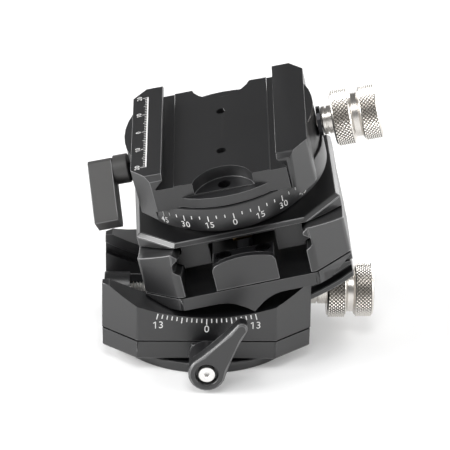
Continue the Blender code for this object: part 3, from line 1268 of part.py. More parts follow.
def make_clamp_knob(frame):
    centre = (0.0, 0.0, CLAMP_SCREW_HEIGHT)
    end = knob_end(CLAMP_KNOB_START)
    screw = rod("clamp_screw", CLAMP_SCREW_RADIUS, CLAMP_SCREW_TIP, end - GAP, centre, "x", HOLE_SIDES)
    frame.carry(screw, stainless())
    washer = CLAMP_DISC_RADIUS + GAP
    collar = washer + CLAMP_WASHER_THICKNESS + GAP
    bore = CLAMP_SCREW_RADIUS + GAP
    outside = washer + CLAMP_WASHER_THICKNESS
    profile = [(bore, washer), (CLAMP_WASHER_RADIUS, washer), (CLAMP_WASHER_RADIUS, outside), (bore, outside)]
    frame.carry(turned("clamp_washer", profile, centre, "x", PIN_SIDES), black_steel())
    frame.carry(knob("clamp_knob", centre, "x", collar, CLAMP_KNOB_START, CLAMP_SCREW_RADIUS), stainless())


def make_pan_lever(frame, clamp_frame):
    """The paddle: a bar about the locking screw, drawn upright and then swung to its rest."""
    centre = (0.0, PADDLE_AXIS_Y, PADDLE_AXIS_HEIGHT)
    low = PADDLE_AXIS_HEIGHT - PADDLE_LENGTH
    high = PADDLE_AXIS_HEIGHT + PADDLE_HUB_RISE
    front = PADDLE_AXIS_Y - PADDLE_HALF_DEPTH
    back = PADDLE_AXIS_Y + PADDLE_HALF_DEPTH
    outline = [(front + PADDLE_EDGE_BEVEL, low), (back - PADDLE_END_CUT, low), (back, low + PADDLE_END_CUT),
               (back, high - PADDLE_END_CUT), (back - PADDLE_END_CUT, high),
               (front + PADDLE_END_CUT, high), (front, high - PADDLE_END_CUT), (front, low + PADDLE_TOE)]
    lever = prism("pan_lever", outline, -PADDLE_OUTER, -PADDLE_INNER, "x")
    join(lever, rod("barrel", PADDLE_HALF_DEPTH - GAP, -PADDLE_INNER - PADDLE_HALF_DEPTH,
                    -PADDLE_BARREL_START, centre, "x", KNOB_SIDES))
    cut(lever, rod("bore", PADDLE_SCREW_RADIUS + GAP, -PADDLE_OUTER + PADDLE_HALF_DEPTH,
                   -PADDLE_BARREL_START + OVERRUN, centre, "x", HOLE_SIDES))
    swing = (Matrix.Translation(centre) @ Matrix.Rotation(-PADDLE_ANGLE, 4, "X")
             @ Matrix.Translation(-Vector(centre)))
    lever.data.transform(swing)
    frame.carry(lever, black_anodised())
    screw = rod("pan_lever_screw", PADDLE_SCREW_RADIUS, -PADDLE_OUTER + PADDLE_HALF_DEPTH + GAP,
                -PADDLE_SCREW_TIP, centre, "x", HOLE_SIDES)
    frame.carry(screw, stainless())
    plug = rod("pan_brake_plug", PADDLE_PLUG_RADIUS, -PADDLE_SCREW_TIP + GAP, -SPINDLE_RADIUS - RUNNING,
               centre, "x", HOLE_SIDES)
    clamp_frame.carry(plug, brass())


def main():
    clear_scene()
    disc = Frame("disc_frame", (0.0, 0.0, 0.0))
    base = Frame("base_pan_axis", (0.0, 0.0, SEAM_HEIGHT))
    lever = Frame("base_lever_axis", (0.0, -LEVER_HUB_BACK, LEVER_AXIS_HEIGHT), base)
    lower_spin = Frame("lower_worm_axis", (PILLAR_OUTER, 0.0, LOWER_WORM_HEIGHT), base)
    carriage = Frame("lower_tilt_axis", (0.0, 0.0, LOWER_AXIS_HEIGHT), base, (0.0, LOWER_TILT, 0.0))
    upper_spin = Frame("upper_worm_axis", (0.0, BODY_HALF_DEPTH, UPPER_WORM_HEIGHT), carriage)
    tilt = Frame("upper_tilt_axis", (0.0, 0.0, UPPER_AXIS_HEIGHT), carriage, (UPPER_TILT, 0.0, 0.0))
    clamp = Frame("clamp_pan_axis", (0.0, 0.0, RING_TOP), tilt, (0.0, 0.0, CLAMP_PAN))
    paddle = Frame("pan_lever_axis", (-PADDLE_BARREL_START, PADDLE_AXIS_Y, PADDLE_AXIS_HEIGHT), clamp)
    jaw = Frame("jaw_slide_axis", (CLAMP_SEAM, 0.0, CLAMP_SCREW_HEIGHT), clamp)
    jaw_knob = Frame("clamp_knob_axis", (CLAMP_DISC_RADIUS, 0.0, CLAMP_SCREW_HEIGHT), jaw)

    make_mount_disc(disc)
    make_thread_bush(disc)
    make_retaining_washer(disc)
    make_retaining_screws(disc)

    make_base_cover(base)
    make_cover_screws(base)
    make_base_body(base)
    make_brake_plug(base)
    make_base_lever(lever)
    make_lever_screw(lever)
    make_lower_worm(base, lower_spin)

    make_carriage_plate(carriage)
    make_lower_slide(carriage)
    make_guide_rail(carriage, "guide_rail_left", -1)
    make_guide_rail(carriage, "guide_rail_right", 1)
    rail_screws = screws("rail_screw", rail_screw_places(), CARRIAGE_PLATE_BOTTOM, 1.0)
    carriage.carry_all(rail_screws, stainless())
    make_worm_block(carriage, "worm_block_front", -1)
    make_worm_block(carriage, "worm_block_rear", 1)
    make_block_screws(carriage)
    make_upper_worm(carriage, upper_spin)

    make_tilt_plate(tilt)
    make_upper_slide(tilt)
    make_scale_ring(tilt)
    make_pan_spindle(tilt)

    make_clamp_body(clamp)
    make_movable_jaw(jaw)
    make_clamp_knob(jaw_knob)
    make_pan_lever(paddle, clamp)


main()
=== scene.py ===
"""Looks of the geared tripod head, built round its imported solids.

Each operator makes one piece, or one group of like pieces, of the panning base, the two worm-driven
arc slides and the dovetail clamp. Lengths are in metres, +Z is up and the front faces -Y.
"""

import json
from contextlib import contextmanager
from math import ceil, cos, pi, radians, sin

import bmesh
import bpy
from bpy.props import FloatProperty, FloatVectorProperty, IntProperty, PointerProperty
from mathutils import Matrix, Vector

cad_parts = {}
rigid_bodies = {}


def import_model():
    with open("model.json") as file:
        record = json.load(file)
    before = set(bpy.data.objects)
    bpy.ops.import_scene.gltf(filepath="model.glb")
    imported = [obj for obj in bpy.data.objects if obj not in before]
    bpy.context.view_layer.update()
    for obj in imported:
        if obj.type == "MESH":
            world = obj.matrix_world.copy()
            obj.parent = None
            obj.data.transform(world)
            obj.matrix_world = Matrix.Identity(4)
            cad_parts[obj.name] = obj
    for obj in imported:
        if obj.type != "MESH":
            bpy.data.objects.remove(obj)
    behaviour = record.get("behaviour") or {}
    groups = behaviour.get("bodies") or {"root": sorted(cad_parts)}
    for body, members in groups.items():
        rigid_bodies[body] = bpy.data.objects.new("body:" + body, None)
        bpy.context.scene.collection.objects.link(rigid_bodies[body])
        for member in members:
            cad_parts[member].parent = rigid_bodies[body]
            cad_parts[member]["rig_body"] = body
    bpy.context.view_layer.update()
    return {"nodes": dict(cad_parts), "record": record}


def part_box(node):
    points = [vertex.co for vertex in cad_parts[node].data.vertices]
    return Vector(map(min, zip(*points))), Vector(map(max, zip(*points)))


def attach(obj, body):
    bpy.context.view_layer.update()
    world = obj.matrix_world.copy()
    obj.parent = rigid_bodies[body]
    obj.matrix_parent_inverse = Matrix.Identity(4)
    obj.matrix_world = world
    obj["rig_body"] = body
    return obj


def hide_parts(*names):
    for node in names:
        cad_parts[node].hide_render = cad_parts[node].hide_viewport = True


bl_info = {
    "name": "Geared Tripod Head",
    "version": (1, 0, 0),
    "blender": (4, 5, 0),
    "location": "View3D > Sidebar > Tripod Head",
    "description": "Finishes, markings and fine shapes of a geared tripod head",
    "category": "Object",
}

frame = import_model()

# Resting pose: the tilts and turns that the head stands at, and the heights of the tilt axes
LOWER_TILT = radians(-13.0)
LOWER_AXIS_HEIGHT = 0.08565
UPPER_TILT = radians(9.5)
UPPER_AXIS_HEIGHT = 0.1087
CLAMP_PAN = radians(-2.4)

# Places on the head, in the level pose
LEVER_AXIS_HEIGHT = 0.0067
PADDLE_AXIS_Y = -0.0028
PADDLE_AXIS_HEIGHT = 0.0602
LOWER_WORM_HEIGHT = 0.0144
UPPER_WORM_HEIGHT = 0.0324
CLAMP_SCREW_HEIGHT = 0.0627
BASE_FACE = -0.0281
BASE_SEAM = 0.0102
CLAMP_JAW_TOP = 0.07057
RING_RADIUS = 0.03105

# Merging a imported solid: points this close and faces this flat are one, and shorter edges go
WELD = 0.000002
FLAT_ANGLE = radians(0.4)
SHORTEST_EDGE = 0.00034

# Rounding: which edges are hard, which corners are upright and outer, and which rims stay sharp
HARD_ANGLE = radians(28.0)
SMOOTH_ANGLE = radians(40.0)
KNOB_SMOOTH_ANGLE = radians(30.0)
UPRIGHT = 0.985
CORNER_REACH = 0.026
FRONT_REACH = 0.020
SHORTEST_CORNER = 0.0024
SHORTEST_RAIL_CORNER = 0.0080
SMALL_RIM = 0.0056
LEVER_RIM = 0.0075

# After rounding: how close slivers are joined, and which faces are too wide, or too near a seam,
# for the paler worn edge colour with its painted highlight
SLIVER = 0.00012
STRIP_SHARE = 0.6
SEAM_WIDTHS = 2.0
FACE_WEIGHT = 50

# Steps round a turned piece
ROUND_STEPS = 64
KNOB_STEPS = 72
DISC_STEPS = 128
SOCKET_STEPS = 6

FULL_TURN = 2.0 * pi
QUARTER_TURN = pi / 2.0
LEVEL = Matrix.Identity(4)


def tilt_about(height, angle, axis):
    up = Matrix.Translation((0.0, 0.0, height))
    return up @ Matrix.Rotation(angle, 4, axis) @ up.inverted()


CARRIAGE_POSE = tilt_about(LOWER_AXIS_HEIGHT, LOWER_TILT, "Y")
TILT_POSE = CARRIAGE_POSE @ tilt_about(UPPER_AXIS_HEIGHT, UPPER_TILT, "X")
CLAMP_POSE = TILT_POSE @ Matrix.Rotation(CLAMP_PAN, 4, "Z")


class FinishColours(bpy.types.PropertyGroup):
    """Colours and gloss of the head's finishes."""

    anodised: FloatVectorProperty(
        name="Anodised black", subtype="COLOR", size=3, min=0.0, max=1.0,
        default=(0.0026, 0.0026, 0.0034), description="Satin black of the aluminium pieces")
    # Anodised edge: the paler colour of worn edges, with a painted highlight along them
    edge: FloatVectorProperty(
        name="Anodised edge", subtype="COLOR", size=3, min=0.0, max=1.0,
        default=(0.120, 0.120, 0.122),
        description="Paler sheen where the aluminium is broken at its edges")
    lever: FloatVectorProperty(
        name="Lever grey", subtype="COLOR", size=3, min=0.0, max=1.0,
        default=(0.034, 0.033, 0.032), description="Coated grey of the side paddle")
    stainless: FloatVectorProperty(
        name="Stainless steel", subtype="COLOR", size=3, min=0.0, max=1.0,
        default=(0.74, 0.71, 0.67), description="Turned steel of the knobs, screws and pins")
    # Knurl pits: painted shade between the points of the knurls
    pit: FloatVectorProperty(
        name="Knurl pits", subtype="COLOR", size=3, min=0.0, max=1.0,
        default=(0.10, 0.095, 0.088), description="Dull steel between the points of the knurls")
    # Bright steel: polished on the lever's screw; on the lower worm its paler tone is a painted
    # highlight
    bright: FloatVectorProperty(
        name="Bright steel", subtype="COLOR", size=3, min=0.0, max=1.0,
        default=(0.86, 0.85, 0.83),
        description="Polished steel of the front lever's screw and the lower worm")
    brass: FloatVectorProperty(
        name="Brass", subtype="COLOR", size=3, min=0.0, max=1.0,
        default=(0.60, 0.42, 0.20), description="Racks, bushes and plugs")
    # Blackened steel: real on the screws and washers; on the upper worm the dark tone is painted
    # shade
    blackened: FloatVectorProperty(
        name="Blackened steel", subtype="COLOR", size=3, min=0.0, max=1.0,
        default=(0.045, 0.045, 0.048),
        description="The worm blocks' screws, the washers and the upper worm")
    paint: FloatVectorProperty(
        name="Marking paint", subtype="COLOR", size=3, min=0.0, max=1.0,
        default=(0.80, 0.80, 0.79), description="Scales and their numbers")
    satin: FloatProperty(
        name="Anodised roughness", subtype="FACTOR", min=0.0, max=1.0, default=0.40,
        description="Roughness of the anodised faces")


class EdgeSizes(bpy.types.PropertyGroup):
    """Widths of the rounded edges."""

    housing: FloatProperty(
        name="Housing edges", unit="LENGTH", min=0.0, default=0.00030,
        description="Rounding of the slides, rails, worm blocks and tilting plate")
    fine: FloatProperty(
        name="Fine edges", unit="LENGTH", min=0.0, default=0.00018,
        description="Rounding of the base and the carriage plate")
    base_corner: FloatProperty(
        name="Base corners", unit="LENGTH", min=0.0, default=0.0009,
        description="Rounding of the base's upright corners at the front")
    carriage_corner: FloatProperty(
        name="Carriage corners", unit="LENGTH", min=0.0, default=0.0011,
        description="Rounding of the upright corners of the carriage's front and of its rails")
    jaw_corner: FloatProperty(
        name="Jaw corners", unit="LENGTH", min=0.0, default=0.0012,
        description="Rounding of the movable jaw's upright corners at the front")
    clamp: FloatProperty(
        name="Clamp edges", unit="LENGTH", min=0.0, default=0.00015,
        description="Rounding of the clamp body and its movable jaw")
    lever: FloatProperty(
        name="Lever edges", unit="LENGTH", min=0.0, default=0.00025,
        description="Rounding of the side paddle; the front lever's is 1.3 times as wide")
    segments: IntProperty(
        name="Steps", min=1, max=6, default=3, description="Steps across a rounded edge")


class KnobSizes(bpy.types.PropertyGroup):
    """Sizes of the three double-ring knobs."""

    ring_radius: FloatProperty(
        name="Ring radius", unit="LENGTH", default=0.0089,
        description="Radius over the inner ring's knurl")
    end_radius: FloatProperty(
        name="End ring radius", unit="LENGTH", default=0.0086,
        description="Radius over the outer ring's knurl")
    groove_radius: FloatProperty(
        name="Groove radius", unit="LENGTH", default=0.0070,
        description="Radius between the two rings")
    ring_width: FloatProperty(
        name="Ring width", unit="LENGTH", default=0.0063, description="Width of each knurled ring")
    groove_width: FloatProperty(
        name="Groove width", unit="LENGTH", default=0.0024,
        description="Width of the smooth groove between the rings")
    rim: FloatProperty(
        name="Rim", unit="LENGTH", default=0.0007, description="Rounded rim beside the knurl")
    collar_radius: FloatProperty(
        name="Collar radius", unit="LENGTH", default=0.0045,
        description="Radius of the collar that faces the housing")
    knurl_depth: FloatProperty(
        name="Knurl depth", unit="LENGTH", default=0.00050,
        description="Height of the knurl's points over their grooves")
    knurl_count: IntProperty(
        name="Knurl count", min=12, max=120, default=42, description="Diamonds round a ring")


class MarkingSizes(bpy.types.PropertyGroup):
    """Sizes of the scales' ticks and numbers."""

    tick: FloatProperty(
        name="Tick width", unit="LENGTH", default=0.00034,
        description="Width of a tick of the tilt scale; the pan scale's is 0.9 of it")
    base_number: FloatProperty(
        name="Base number height", unit="LENGTH", default=0.0034,
        description="Type size of the tilt scale's numbers")
    ring_number: FloatProperty(
        name="Ring number height", unit="LENGTH", default=0.0030,
        description="Type size of the pan scale's numbers")
    ruler_number: FloatProperty(
        name="Ruler number height", unit="LENGTH", default=0.0022,
        description="Type size of the jaw ruler's numbers")


class StageSizes(bpy.types.PropertyGroup):
    """Lamps and floor of the studio."""

    top_front: FloatProperty(
        name="Top front box", min=0.0, default=5.5,
        description="Brightness of the soft box high at the front")
    left_side: FloatProperty(
        name="Left box", min=0.0, default=9.0, description="Brightness of the soft box at the left")
    left_back: FloatProperty(
        name="Left back box", min=0.0, default=3.7,
        description="Brightness of the soft box behind at the left")
    right_side: FloatProperty(
        name="Right box", min=0.0, default=3.2,
        description="Brightness of the soft box at the right")
    right_back: FloatProperty(
        name="Right back box", min=0.0, default=7.0,
        description="Brightness of the soft box behind at the right")
    ambient: FloatProperty(
        name="Ambient light", min=0.0, default=0.21,
        description="Strength of the surroundings that light the head and that it mirrors overhead")
    floor_glow: FloatProperty(
        name="Paper white", min=0.0, default=0.14,
        description="White that the eye and mirrors see in the near paper besides its light")
    floor: FloatVectorProperty(
        name="Floor", subtype="COLOR", size=3, min=0.0, max=1.0,
        default=(0.82, 0.82, 0.82), description="Colour of the floor")


# Finishes

DRIFT_DETAIL = 3.0
FINE_DETAIL = 2.0

# A blasted surface: scales of its drift and grain, and how far its tone and gloss drift
BLAST_DRIFT = 90.0
BLAST_GRAIN = 5200.0
BLAST_DEPTH = 0.00002
BLAST_TONE = 0.14
BLAST_GLOSS = 0.035
EDGE_POLISH = 0.10

# Turned metal: scales of its tool lines across and along them, and of its drift
LINES_ACROSS = 9000.0
LINES_ALONG = 60.0
LINE_DRIFT = 260.0
LINE_STRENGTH = 0.25
LINE_DEPTH = 0.000012
DULLEST = 0.07
BRIGHTEST = 0.05
DARKEST_TONE = 0.88
PALEST_TONE = 1.08

# Painted shade in the knurls: dark up to the first share of their height and unshaded from the
# second
PIT_HEIGHT = 0.02
UNSHADED_HEIGHT = 0.26


def new_material(name):
    finish = bpy.data.materials.new(name)
    finish.use_nodes = True
    return finish, finish.node_tree.nodes, finish.node_tree.links


def feed(links, socket, value):
    """Link a socket to another one, or set it to a number or a colour."""
    if isinstance(value, bpy.types.NodeSocket):
        links.new(value, socket)
    else:
        socket.default_value = value


def noise(nodes, links, place, scale, detail):
    pattern = nodes.new("ShaderNodeTexNoise")
    pattern.inputs["Scale"].default_value = scale
    pattern.inputs["Detail"].default_value = detail
    links.new(place, pattern.inputs["Vector"])
    return pattern.outputs["Fac"]


def mixed(nodes, links, factor, first, second, kind="RGBA"):
    """Two colours, or two numbers, mixed by a factor."""
    mix = nodes.new("ShaderNodeMix")
    mix.data_type = kind
    feed(links, mix.inputs["Factor"], factor)
    feed(links, mix.inputs["A"], first)
    feed(links, mix.inputs["B"], second)
    return mix.outputs["Result"]


def ranged(nodes, links, value, start, end, low, high):
    """A number brought from one range to another."""
    change = nodes.new("ShaderNodeMapRange")
    change.inputs["From Min"].default_value = start
    change.inputs["From Max"].default_value = end
    change.inputs["To Min"].default_value = low
    change.inputs["To Max"].default_value = high
    links.new(value, change.inputs["Value"])
    return change.outputs["Result"]


def worked_out(nodes, links, operation, first, second):
    """One number made of two."""
    work = nodes.new("ShaderNodeMath")
    work.operation = operation
    links.new(first, work.inputs[0])
    links.new(second, work.inputs[1])
    return work.outputs[0]


def shade(colour, share):
    """A colour made darker or paler by a share."""
    return (*[min(part * share, 1.0) for part in colour], 1.0)


def cover(nodes, links, tone, gloss, grain, strength, depth):
    """Lead a tone, a gloss and a relief into the shader."""
    shader = nodes["Principled BSDF"]
    links.new(tone, shader.inputs["Base Color"])
    links.new(gloss, shader.inputs["Roughness"])
    relief = nodes.new("ShaderNodeBump")
    relief.inputs["Strength"].default_value = strength
    relief.inputs["Distance"].default_value = depth
    links.new(grain, relief.inputs["Height"])
    links.new(relief.outputs["Normal"], shader.inputs["Normal"])


def blasted(name, colour, roughness, level, bump, metallic=0.0):
    """A fine-blasted surface: even grain, and slow drifts of tone and gloss."""
    finish, nodes, links = new_material(name)
    shader = nodes["Principled BSDF"]
    shader.inputs["Metallic"].default_value = metallic
    shader.inputs["Specular IOR Level"].default_value = level
    place = nodes.new("ShaderNodeTexCoord").outputs["Object"]
    drift = noise(nodes, links, place, BLAST_DRIFT, DRIFT_DETAIL)
    tone = mixed(nodes, links, drift, shade(colour, 1.0 - BLAST_TONE),
                 shade(colour, 1.0 + BLAST_TONE))
    gloss = ranged(nodes, links, drift, 0.0, 1.0, roughness - BLAST_GLOSS, roughness + BLAST_GLOSS)
    grain = noise(nodes, links, place, BLAST_GRAIN, FINE_DETAIL)
    cover(nodes, links, tone, gloss, grain, bump, BLAST_DEPTH)
    return finish


def turned_metal(name, colour, roughness, axis):
    """Bright metal with fine tool lines: bands across the turning axis of the piece."""
    finish, nodes, links = new_material(name)
    nodes["Principled BSDF"].inputs["Metallic"].default_value = 1.0
    place = nodes.new("ShaderNodeTexCoord").outputs["Object"]
    turn = nodes.new("ShaderNodeMapping")
    turn.inputs["Scale"].default_value = [
        LINES_ACROSS if way == axis else LINES_ALONG for way in "xyz"]
    links.new(place, turn.inputs["Vector"])
    lines = noise(nodes, links, turn.outputs["Vector"], 1.0, FINE_DETAIL)
    drift = noise(nodes, links, place, LINE_DRIFT, DRIFT_DETAIL)
    tone = mixed(nodes, links, drift, shade(colour, DARKEST_TONE), shade(colour, PALEST_TONE))
    gloss = ranged(nodes, links, lines, 0.0, 1.0, roughness - BRIGHTEST, roughness + DULLEST)
    cover(nodes, links, tone, gloss, lines, LINE_STRENGTH, LINE_DEPTH)
    return finish


def knurled_metal(name, colour, pit, axis):
    """Turned metal with painted shade in its pits: the height stored on the knurl's points sets the
    tone.
    """
    finish = turned_metal(name, colour, roughness=0.25, axis=axis)
    nodes, links = finish.node_tree.nodes, finish.node_tree.links
    base_colour = nodes["Principled BSDF"].inputs["Base Color"]
    unshaded_tone = base_colour.links[0].from_socket
    # Painted shade: the pits darken towards the knurl's grooves
    height = nodes.new("ShaderNodeAttribute")
    height.attribute_name = "knurl_height"
    unshaded_share = ranged(nodes, links, height.outputs["Fac"], PIT_HEIGHT, UNSHADED_HEIGHT, 0.0, 1.0)
    links.new(mixed(nodes, links, unshaded_share, shade(pit, 1.0), unshaded_tone), base_colour)
    return finish


def finish_of(kind):
    """The finish of that kind, made when it is first asked for."""
    made = bpy.data.materials.get(kind)
    if made:
        return made
    colours = bpy.context.scene.head_finishes
    if kind == "anodised_black":
        return blasted(kind, colours.anodised, colours.satin, level=0.96, bump=0.20)
    # The edge finish is paler than the anodising: worn edges with a painted highlight
    if kind == "anodised_edge":
        return blasted(kind, colours.edge, colours.satin - EDGE_POLISH, level=0.90, bump=0.05)
    if kind == "lever_coat":
        return blasted(kind, colours.lever, roughness=0.46, level=0.80, bump=0.30)
    if kind == "blackened_steel":
        return blasted(kind, colours.blackened, roughness=0.30, level=0.5, bump=0.10, metallic=1.0)
    if kind == "marking_paint":
        return blasted(kind, colours.paint, roughness=0.55, level=0.4, bump=0.10)
    if kind == "stainless_bright":
        return turned_metal(kind, colours.bright, roughness=0.30, axis="y")
    if kind == "brass_cut":
        return turned_metal(kind, colours.brass, roughness=0.32, axis="y")
    if kind.startswith("knurled_"):
        return knurled_metal(kind, colours.stainless, colours.pit, axis=kind[-1])
    if kind.startswith("stainless_"):
        return turned_metal(kind, colours.stainless, roughness=0.27, axis=kind[-1])
    raise ValueError(kind)


# Ways of working on a mesh

def activate(piece):
    bpy.ops.object.select_all(action="DESELECT")
    piece.select_set(True)
    bpy.context.view_layer.objects.active = piece


@contextmanager
def editing(piece, kind="FACE"):
    """Edit mode on one piece, with nothing selected."""
    activate(piece)
    bpy.ops.object.mode_set(mode="EDIT")
    bpy.ops.mesh.select_mode(type=kind)
    bpy.ops.mesh.select_all(action="DESELECT")
    yield
    bpy.ops.object.mode_set(mode="OBJECT")


def start_plane(name, size=0.001):
    bpy.ops.object.select_all(action="DESELECT")
    bpy.ops.mesh.primitive_plane_add(size=size)
    piece = bpy.context.active_object
    piece.name = name
    piece.data.name = name
    return piece


def turned(name, profile, steps, place=LEVEL):
    """Draw a point along a profile of (radius, distance) and spin it about the axis."""
    piece = start_plane(name)
    with editing(piece, "VERT"):
        bpy.ops.mesh.select_all(action="SELECT")
        bpy.ops.mesh.merge(type="CENTER")
        bpy.ops.transform.translate(value=(profile[0][0], 0.0, profile[0][1]))
        for (radius, along), (further, beyond) in zip(profile, profile[1:]):
            bpy.ops.mesh.extrude_vertices_move(
                TRANSFORM_OT_translate={"value": (further - radius, 0.0, beyond - along)})
        bpy.ops.mesh.select_all(action="SELECT")
        bpy.ops.mesh.spin(
            steps=steps, angle=FULL_TURN, center=(0.0, 0.0, 0.0), axis=(0.0, 0.0, 1.0))
        bpy.ops.mesh.select_all(action="SELECT")
        bpy.ops.mesh.remove_doubles(threshold=WELD)
        bpy.ops.mesh.normals_make_consistent(inside=False)
    piece.data.transform(place)
    return piece


def along_axis(axis, centre, pose=LEVEL):
    """Stand a piece drawn about Z on another axis, through a centre."""
    turn = {"x": Matrix.Rotation(QUARTER_TURN, 4, "Y"),
            "-x": Matrix.Rotation(-QUARTER_TURN, 4, "Y"),
            "y": Matrix.Rotation(-QUARTER_TURN, 4, "X"),
            "-y": Matrix.Rotation(QUARTER_TURN, 4, "X")}[axis]
    return pose @ Matrix.Translation(centre) @ turn


def wrap(piece, radius):
    """Roll a flat sheet, x round and z out, about the Z axis at a radius."""
    for vertex in piece.data.vertices:
        angle = vertex.co.x / radius
        out = radius + vertex.co.z
        vertex.co = Vector((out * cos(angle), out * sin(angle), vertex.co.y))


def smooth(piece, angle=HARD_ANGLE):
    activate(piece)
    bpy.ops.object.shade_smooth_by_angle(angle=angle)


def apply_modifiers(piece):
    activate(piece)
    for change in list(piece.modifiers):
        bpy.ops.object.modifier_apply(modifier=change.name)


def cut_round(piece, profile, steps, place):
    """Take a turned shape out of a piece."""
    tool = turned("tool", profile, steps, place)
    change = piece.modifiers.new("cut", "BOOLEAN")
    change.operation = "DIFFERENCE"
    change.solver = "EXACT"
    change.object = tool
    apply_modifiers(piece)
    bpy.data.objects.remove(tool)


def merge_pieces(name, pieces):
    if len(pieces) > 1:
        activate(pieces[0])
        for piece in pieces:
            piece.select_set(True)
        bpy.ops.object.join()
    pieces[0].name = name
    return pieces[0]


def give(piece, body, finishes=(), replaced=()):
    """Hand a finished piece its materials, its body and the solids that it stands for."""
    if finishes:
        piece.data.materials.clear()
        for kind in finishes:
            piece.data.materials.append(finish_of(kind))
    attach(piece, body)
    if replaced:
        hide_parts(*replaced)
    return piece


def body_of(node):
    return frame["nodes"][node]["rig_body"]


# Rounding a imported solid

def merged_copy(node, least):
    """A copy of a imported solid, its loose triangles merged into whole faces."""
    piece = bpy.data.objects.new(f"{node}_finished", frame["nodes"][node].data.copy())
    bpy.context.scene.collection.objects.link(piece)
    with editing(piece, "EDGE"):
        bpy.ops.mesh.select_all(action="SELECT")
        bpy.ops.mesh.remove_doubles(threshold=WELD)
        bpy.ops.mesh.dissolve_limited(angle_limit=FLAT_ANGLE)
        bpy.ops.mesh.select_all(action="SELECT")
        bpy.ops.mesh.dissolve_degenerate(threshold=least)
    return piece


def sharp_runs(build):
    """The hard edges of a mesh, in runs that hang together by their ends."""
    waiting = {edge for edge in build.edges
               if len(edge.link_faces) == 2 and edge.calc_face_angle() > HARD_ANGLE}
    runs = []
    while waiting:
        run = []
        growing = [waiting.pop()]
        while growing:
            edge = growing.pop()
            run.append(edge)
            for end in edge.verts:
                for further in end.link_edges:
                    if further in waiting:
                        waiting.discard(further)
                        growing.append(further)
        runs.append(run)
    return runs


def run_span(run):
    corners = [end.co for edge in run for end in edge.verts]
    return max(max(co[axis] for co in corners) - min(co[axis] for co in corners)
               for axis in range(3))


def is_outer_corner(edge, level, front_only, shortest):
    """Upright in the level pose, convex, long, and well out from the axis, or well forward."""
    if not edge.is_convex or edge.calc_length() < shortest:
        return False
    low, high = (level @ end.co for end in edge.verts)
    if abs((high - low).normalized().z) < UPRIGHT:
        return False
    if front_only:
        return low.y < -FRONT_REACH
    return Vector((low.x, low.y)).length > CORNER_REACH


def join_slivers(piece, distance):
    """Merge the points that two roundings left very close together."""
    with editing(piece, "VERT"):
        bpy.ops.mesh.select_all(action="SELECT")
        bpy.ops.mesh.remove_doubles(threshold=distance)
        bpy.ops.mesh.select_all(action="SELECT")
        bpy.ops.mesh.dissolve_degenerate(threshold=distance)


def longest_side(piece, face):
    points = piece.data.vertices
    return max((points[one].co - points[other].co).length for one, other in face.edge_keys)


def rounded_copy(node, width, pose, corner=0.0, measure="OFFSET", least=SHORTEST_EDGE, join=0.0,
                 front_only=False, shortest=SHORTEST_CORNER, small_rim=SMALL_RIM,
                 coat="anodised_black", seam=None):
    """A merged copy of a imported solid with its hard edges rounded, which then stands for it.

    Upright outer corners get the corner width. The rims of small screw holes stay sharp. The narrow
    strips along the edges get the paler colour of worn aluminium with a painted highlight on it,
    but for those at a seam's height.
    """
    piece = merged_copy(node, least)
    level = pose.inverted()
    widest = max(width, corner)
    build = bmesh.new()
    build.from_mesh(piece.data)
    weights = build.edges.layers.float.new("bevel_weight_edge")
    for run in sharp_runs(build):
        if run_span(run) < small_rim:
            continue
        for edge in run:
            wide = corner and is_outer_corner(edge, level, front_only, shortest)
            edge[weights] = (corner if wide else width) / widest
    build.to_mesh(piece.data)
    build.free()
    piece.data.materials.clear()
    piece.data.materials.append(finish_of(coat))
    # Second material: worn edge colour with a painted highlight, for the bevel strips
    piece.data.materials.append(finish_of("anodised_edge"))
    for face in piece.data.polygons:
        face.material_index = 0
    smooth(piece, SMOOTH_ANGLE)
    change = piece.modifiers.new("edges", "BEVEL")
    change.limit_method = "WEIGHT"
    change.width = widest
    change.offset_type = measure
    change.material = 1
    change.segments = bpy.context.scene.head_edges.segments
    change.use_clamp_overlap = False
    change.loop_slide = True
    apply_modifiers(piece)
    if join:
        join_slivers(piece, join)
    # Narrow strips keep the painted edge highlight, but not at a seam's height
    for face in piece.data.polygons:
        above_seam = None if seam is None else (level @ face.center).z - seam
        at_seam = above_seam is not None and abs(above_seam) < SEAM_WIDTHS * width
        if at_seam or face.area > STRIP_SHARE * max(width, join) * longest_side(piece, face):
            face.material_index = 0
    flatten = piece.modifiers.new("flats", "WEIGHTED_NORMAL")
    flatten.mode = "FACE_AREA"
    flatten.weight = FACE_WEIGHT
    flatten.keep_sharp = True
    apply_modifiers(piece)
    return give(piece, body_of(node), replaced=(node,))


# The stage

SOFT_BOXES = (("box_top_front", (0.0, -0.36, 0.76), 0.36, "top_front"),
              ("box_left", (-0.45, -0.10, 0.22), 0.34, "left_side"),
              ("box_left_back", (-0.38, 0.35, 0.20), 0.30, "left_back"),
              ("box_right", (0.45, -0.10, 0.22), 0.34, "right_side"),
              ("box_right_back", (0.38, 0.35, 0.20), 0.30, "right_back"))
LAMP_TARGET = Vector((0.0, 0.0, 0.03))

# Paper: its size, the scale and depth of its grain, and where and how far it whitens
FLOOR_SIZE = 6.0
PAPER_GRAIN = 400.0
PAPER_TONE = 0.99
NEAR_PAPER = 0.25
FAR_PAPER = 0.90
FAR_GLOW = 0.80

# Heights of a mirrored direction between which the surroundings dim
LOW_SKY = 0.10
HIGH_SKY = 0.26


class HEAD_OT_stage(bpy.types.Operator):
    """Set the floor, the soft lamps, the surroundings and the camera"""

    bl_idname = "head.stage"
    bl_label = "Stage"

    def execute(self, context):
        sizes = context.scene.head_stage
        make_floor(sizes)
        make_world(sizes)
        for name, place, width, brightness in SOFT_BOXES:
            soft_box(name, place, width, getattr(sizes, brightness))
        make_camera()
        return {"FINISHED"}


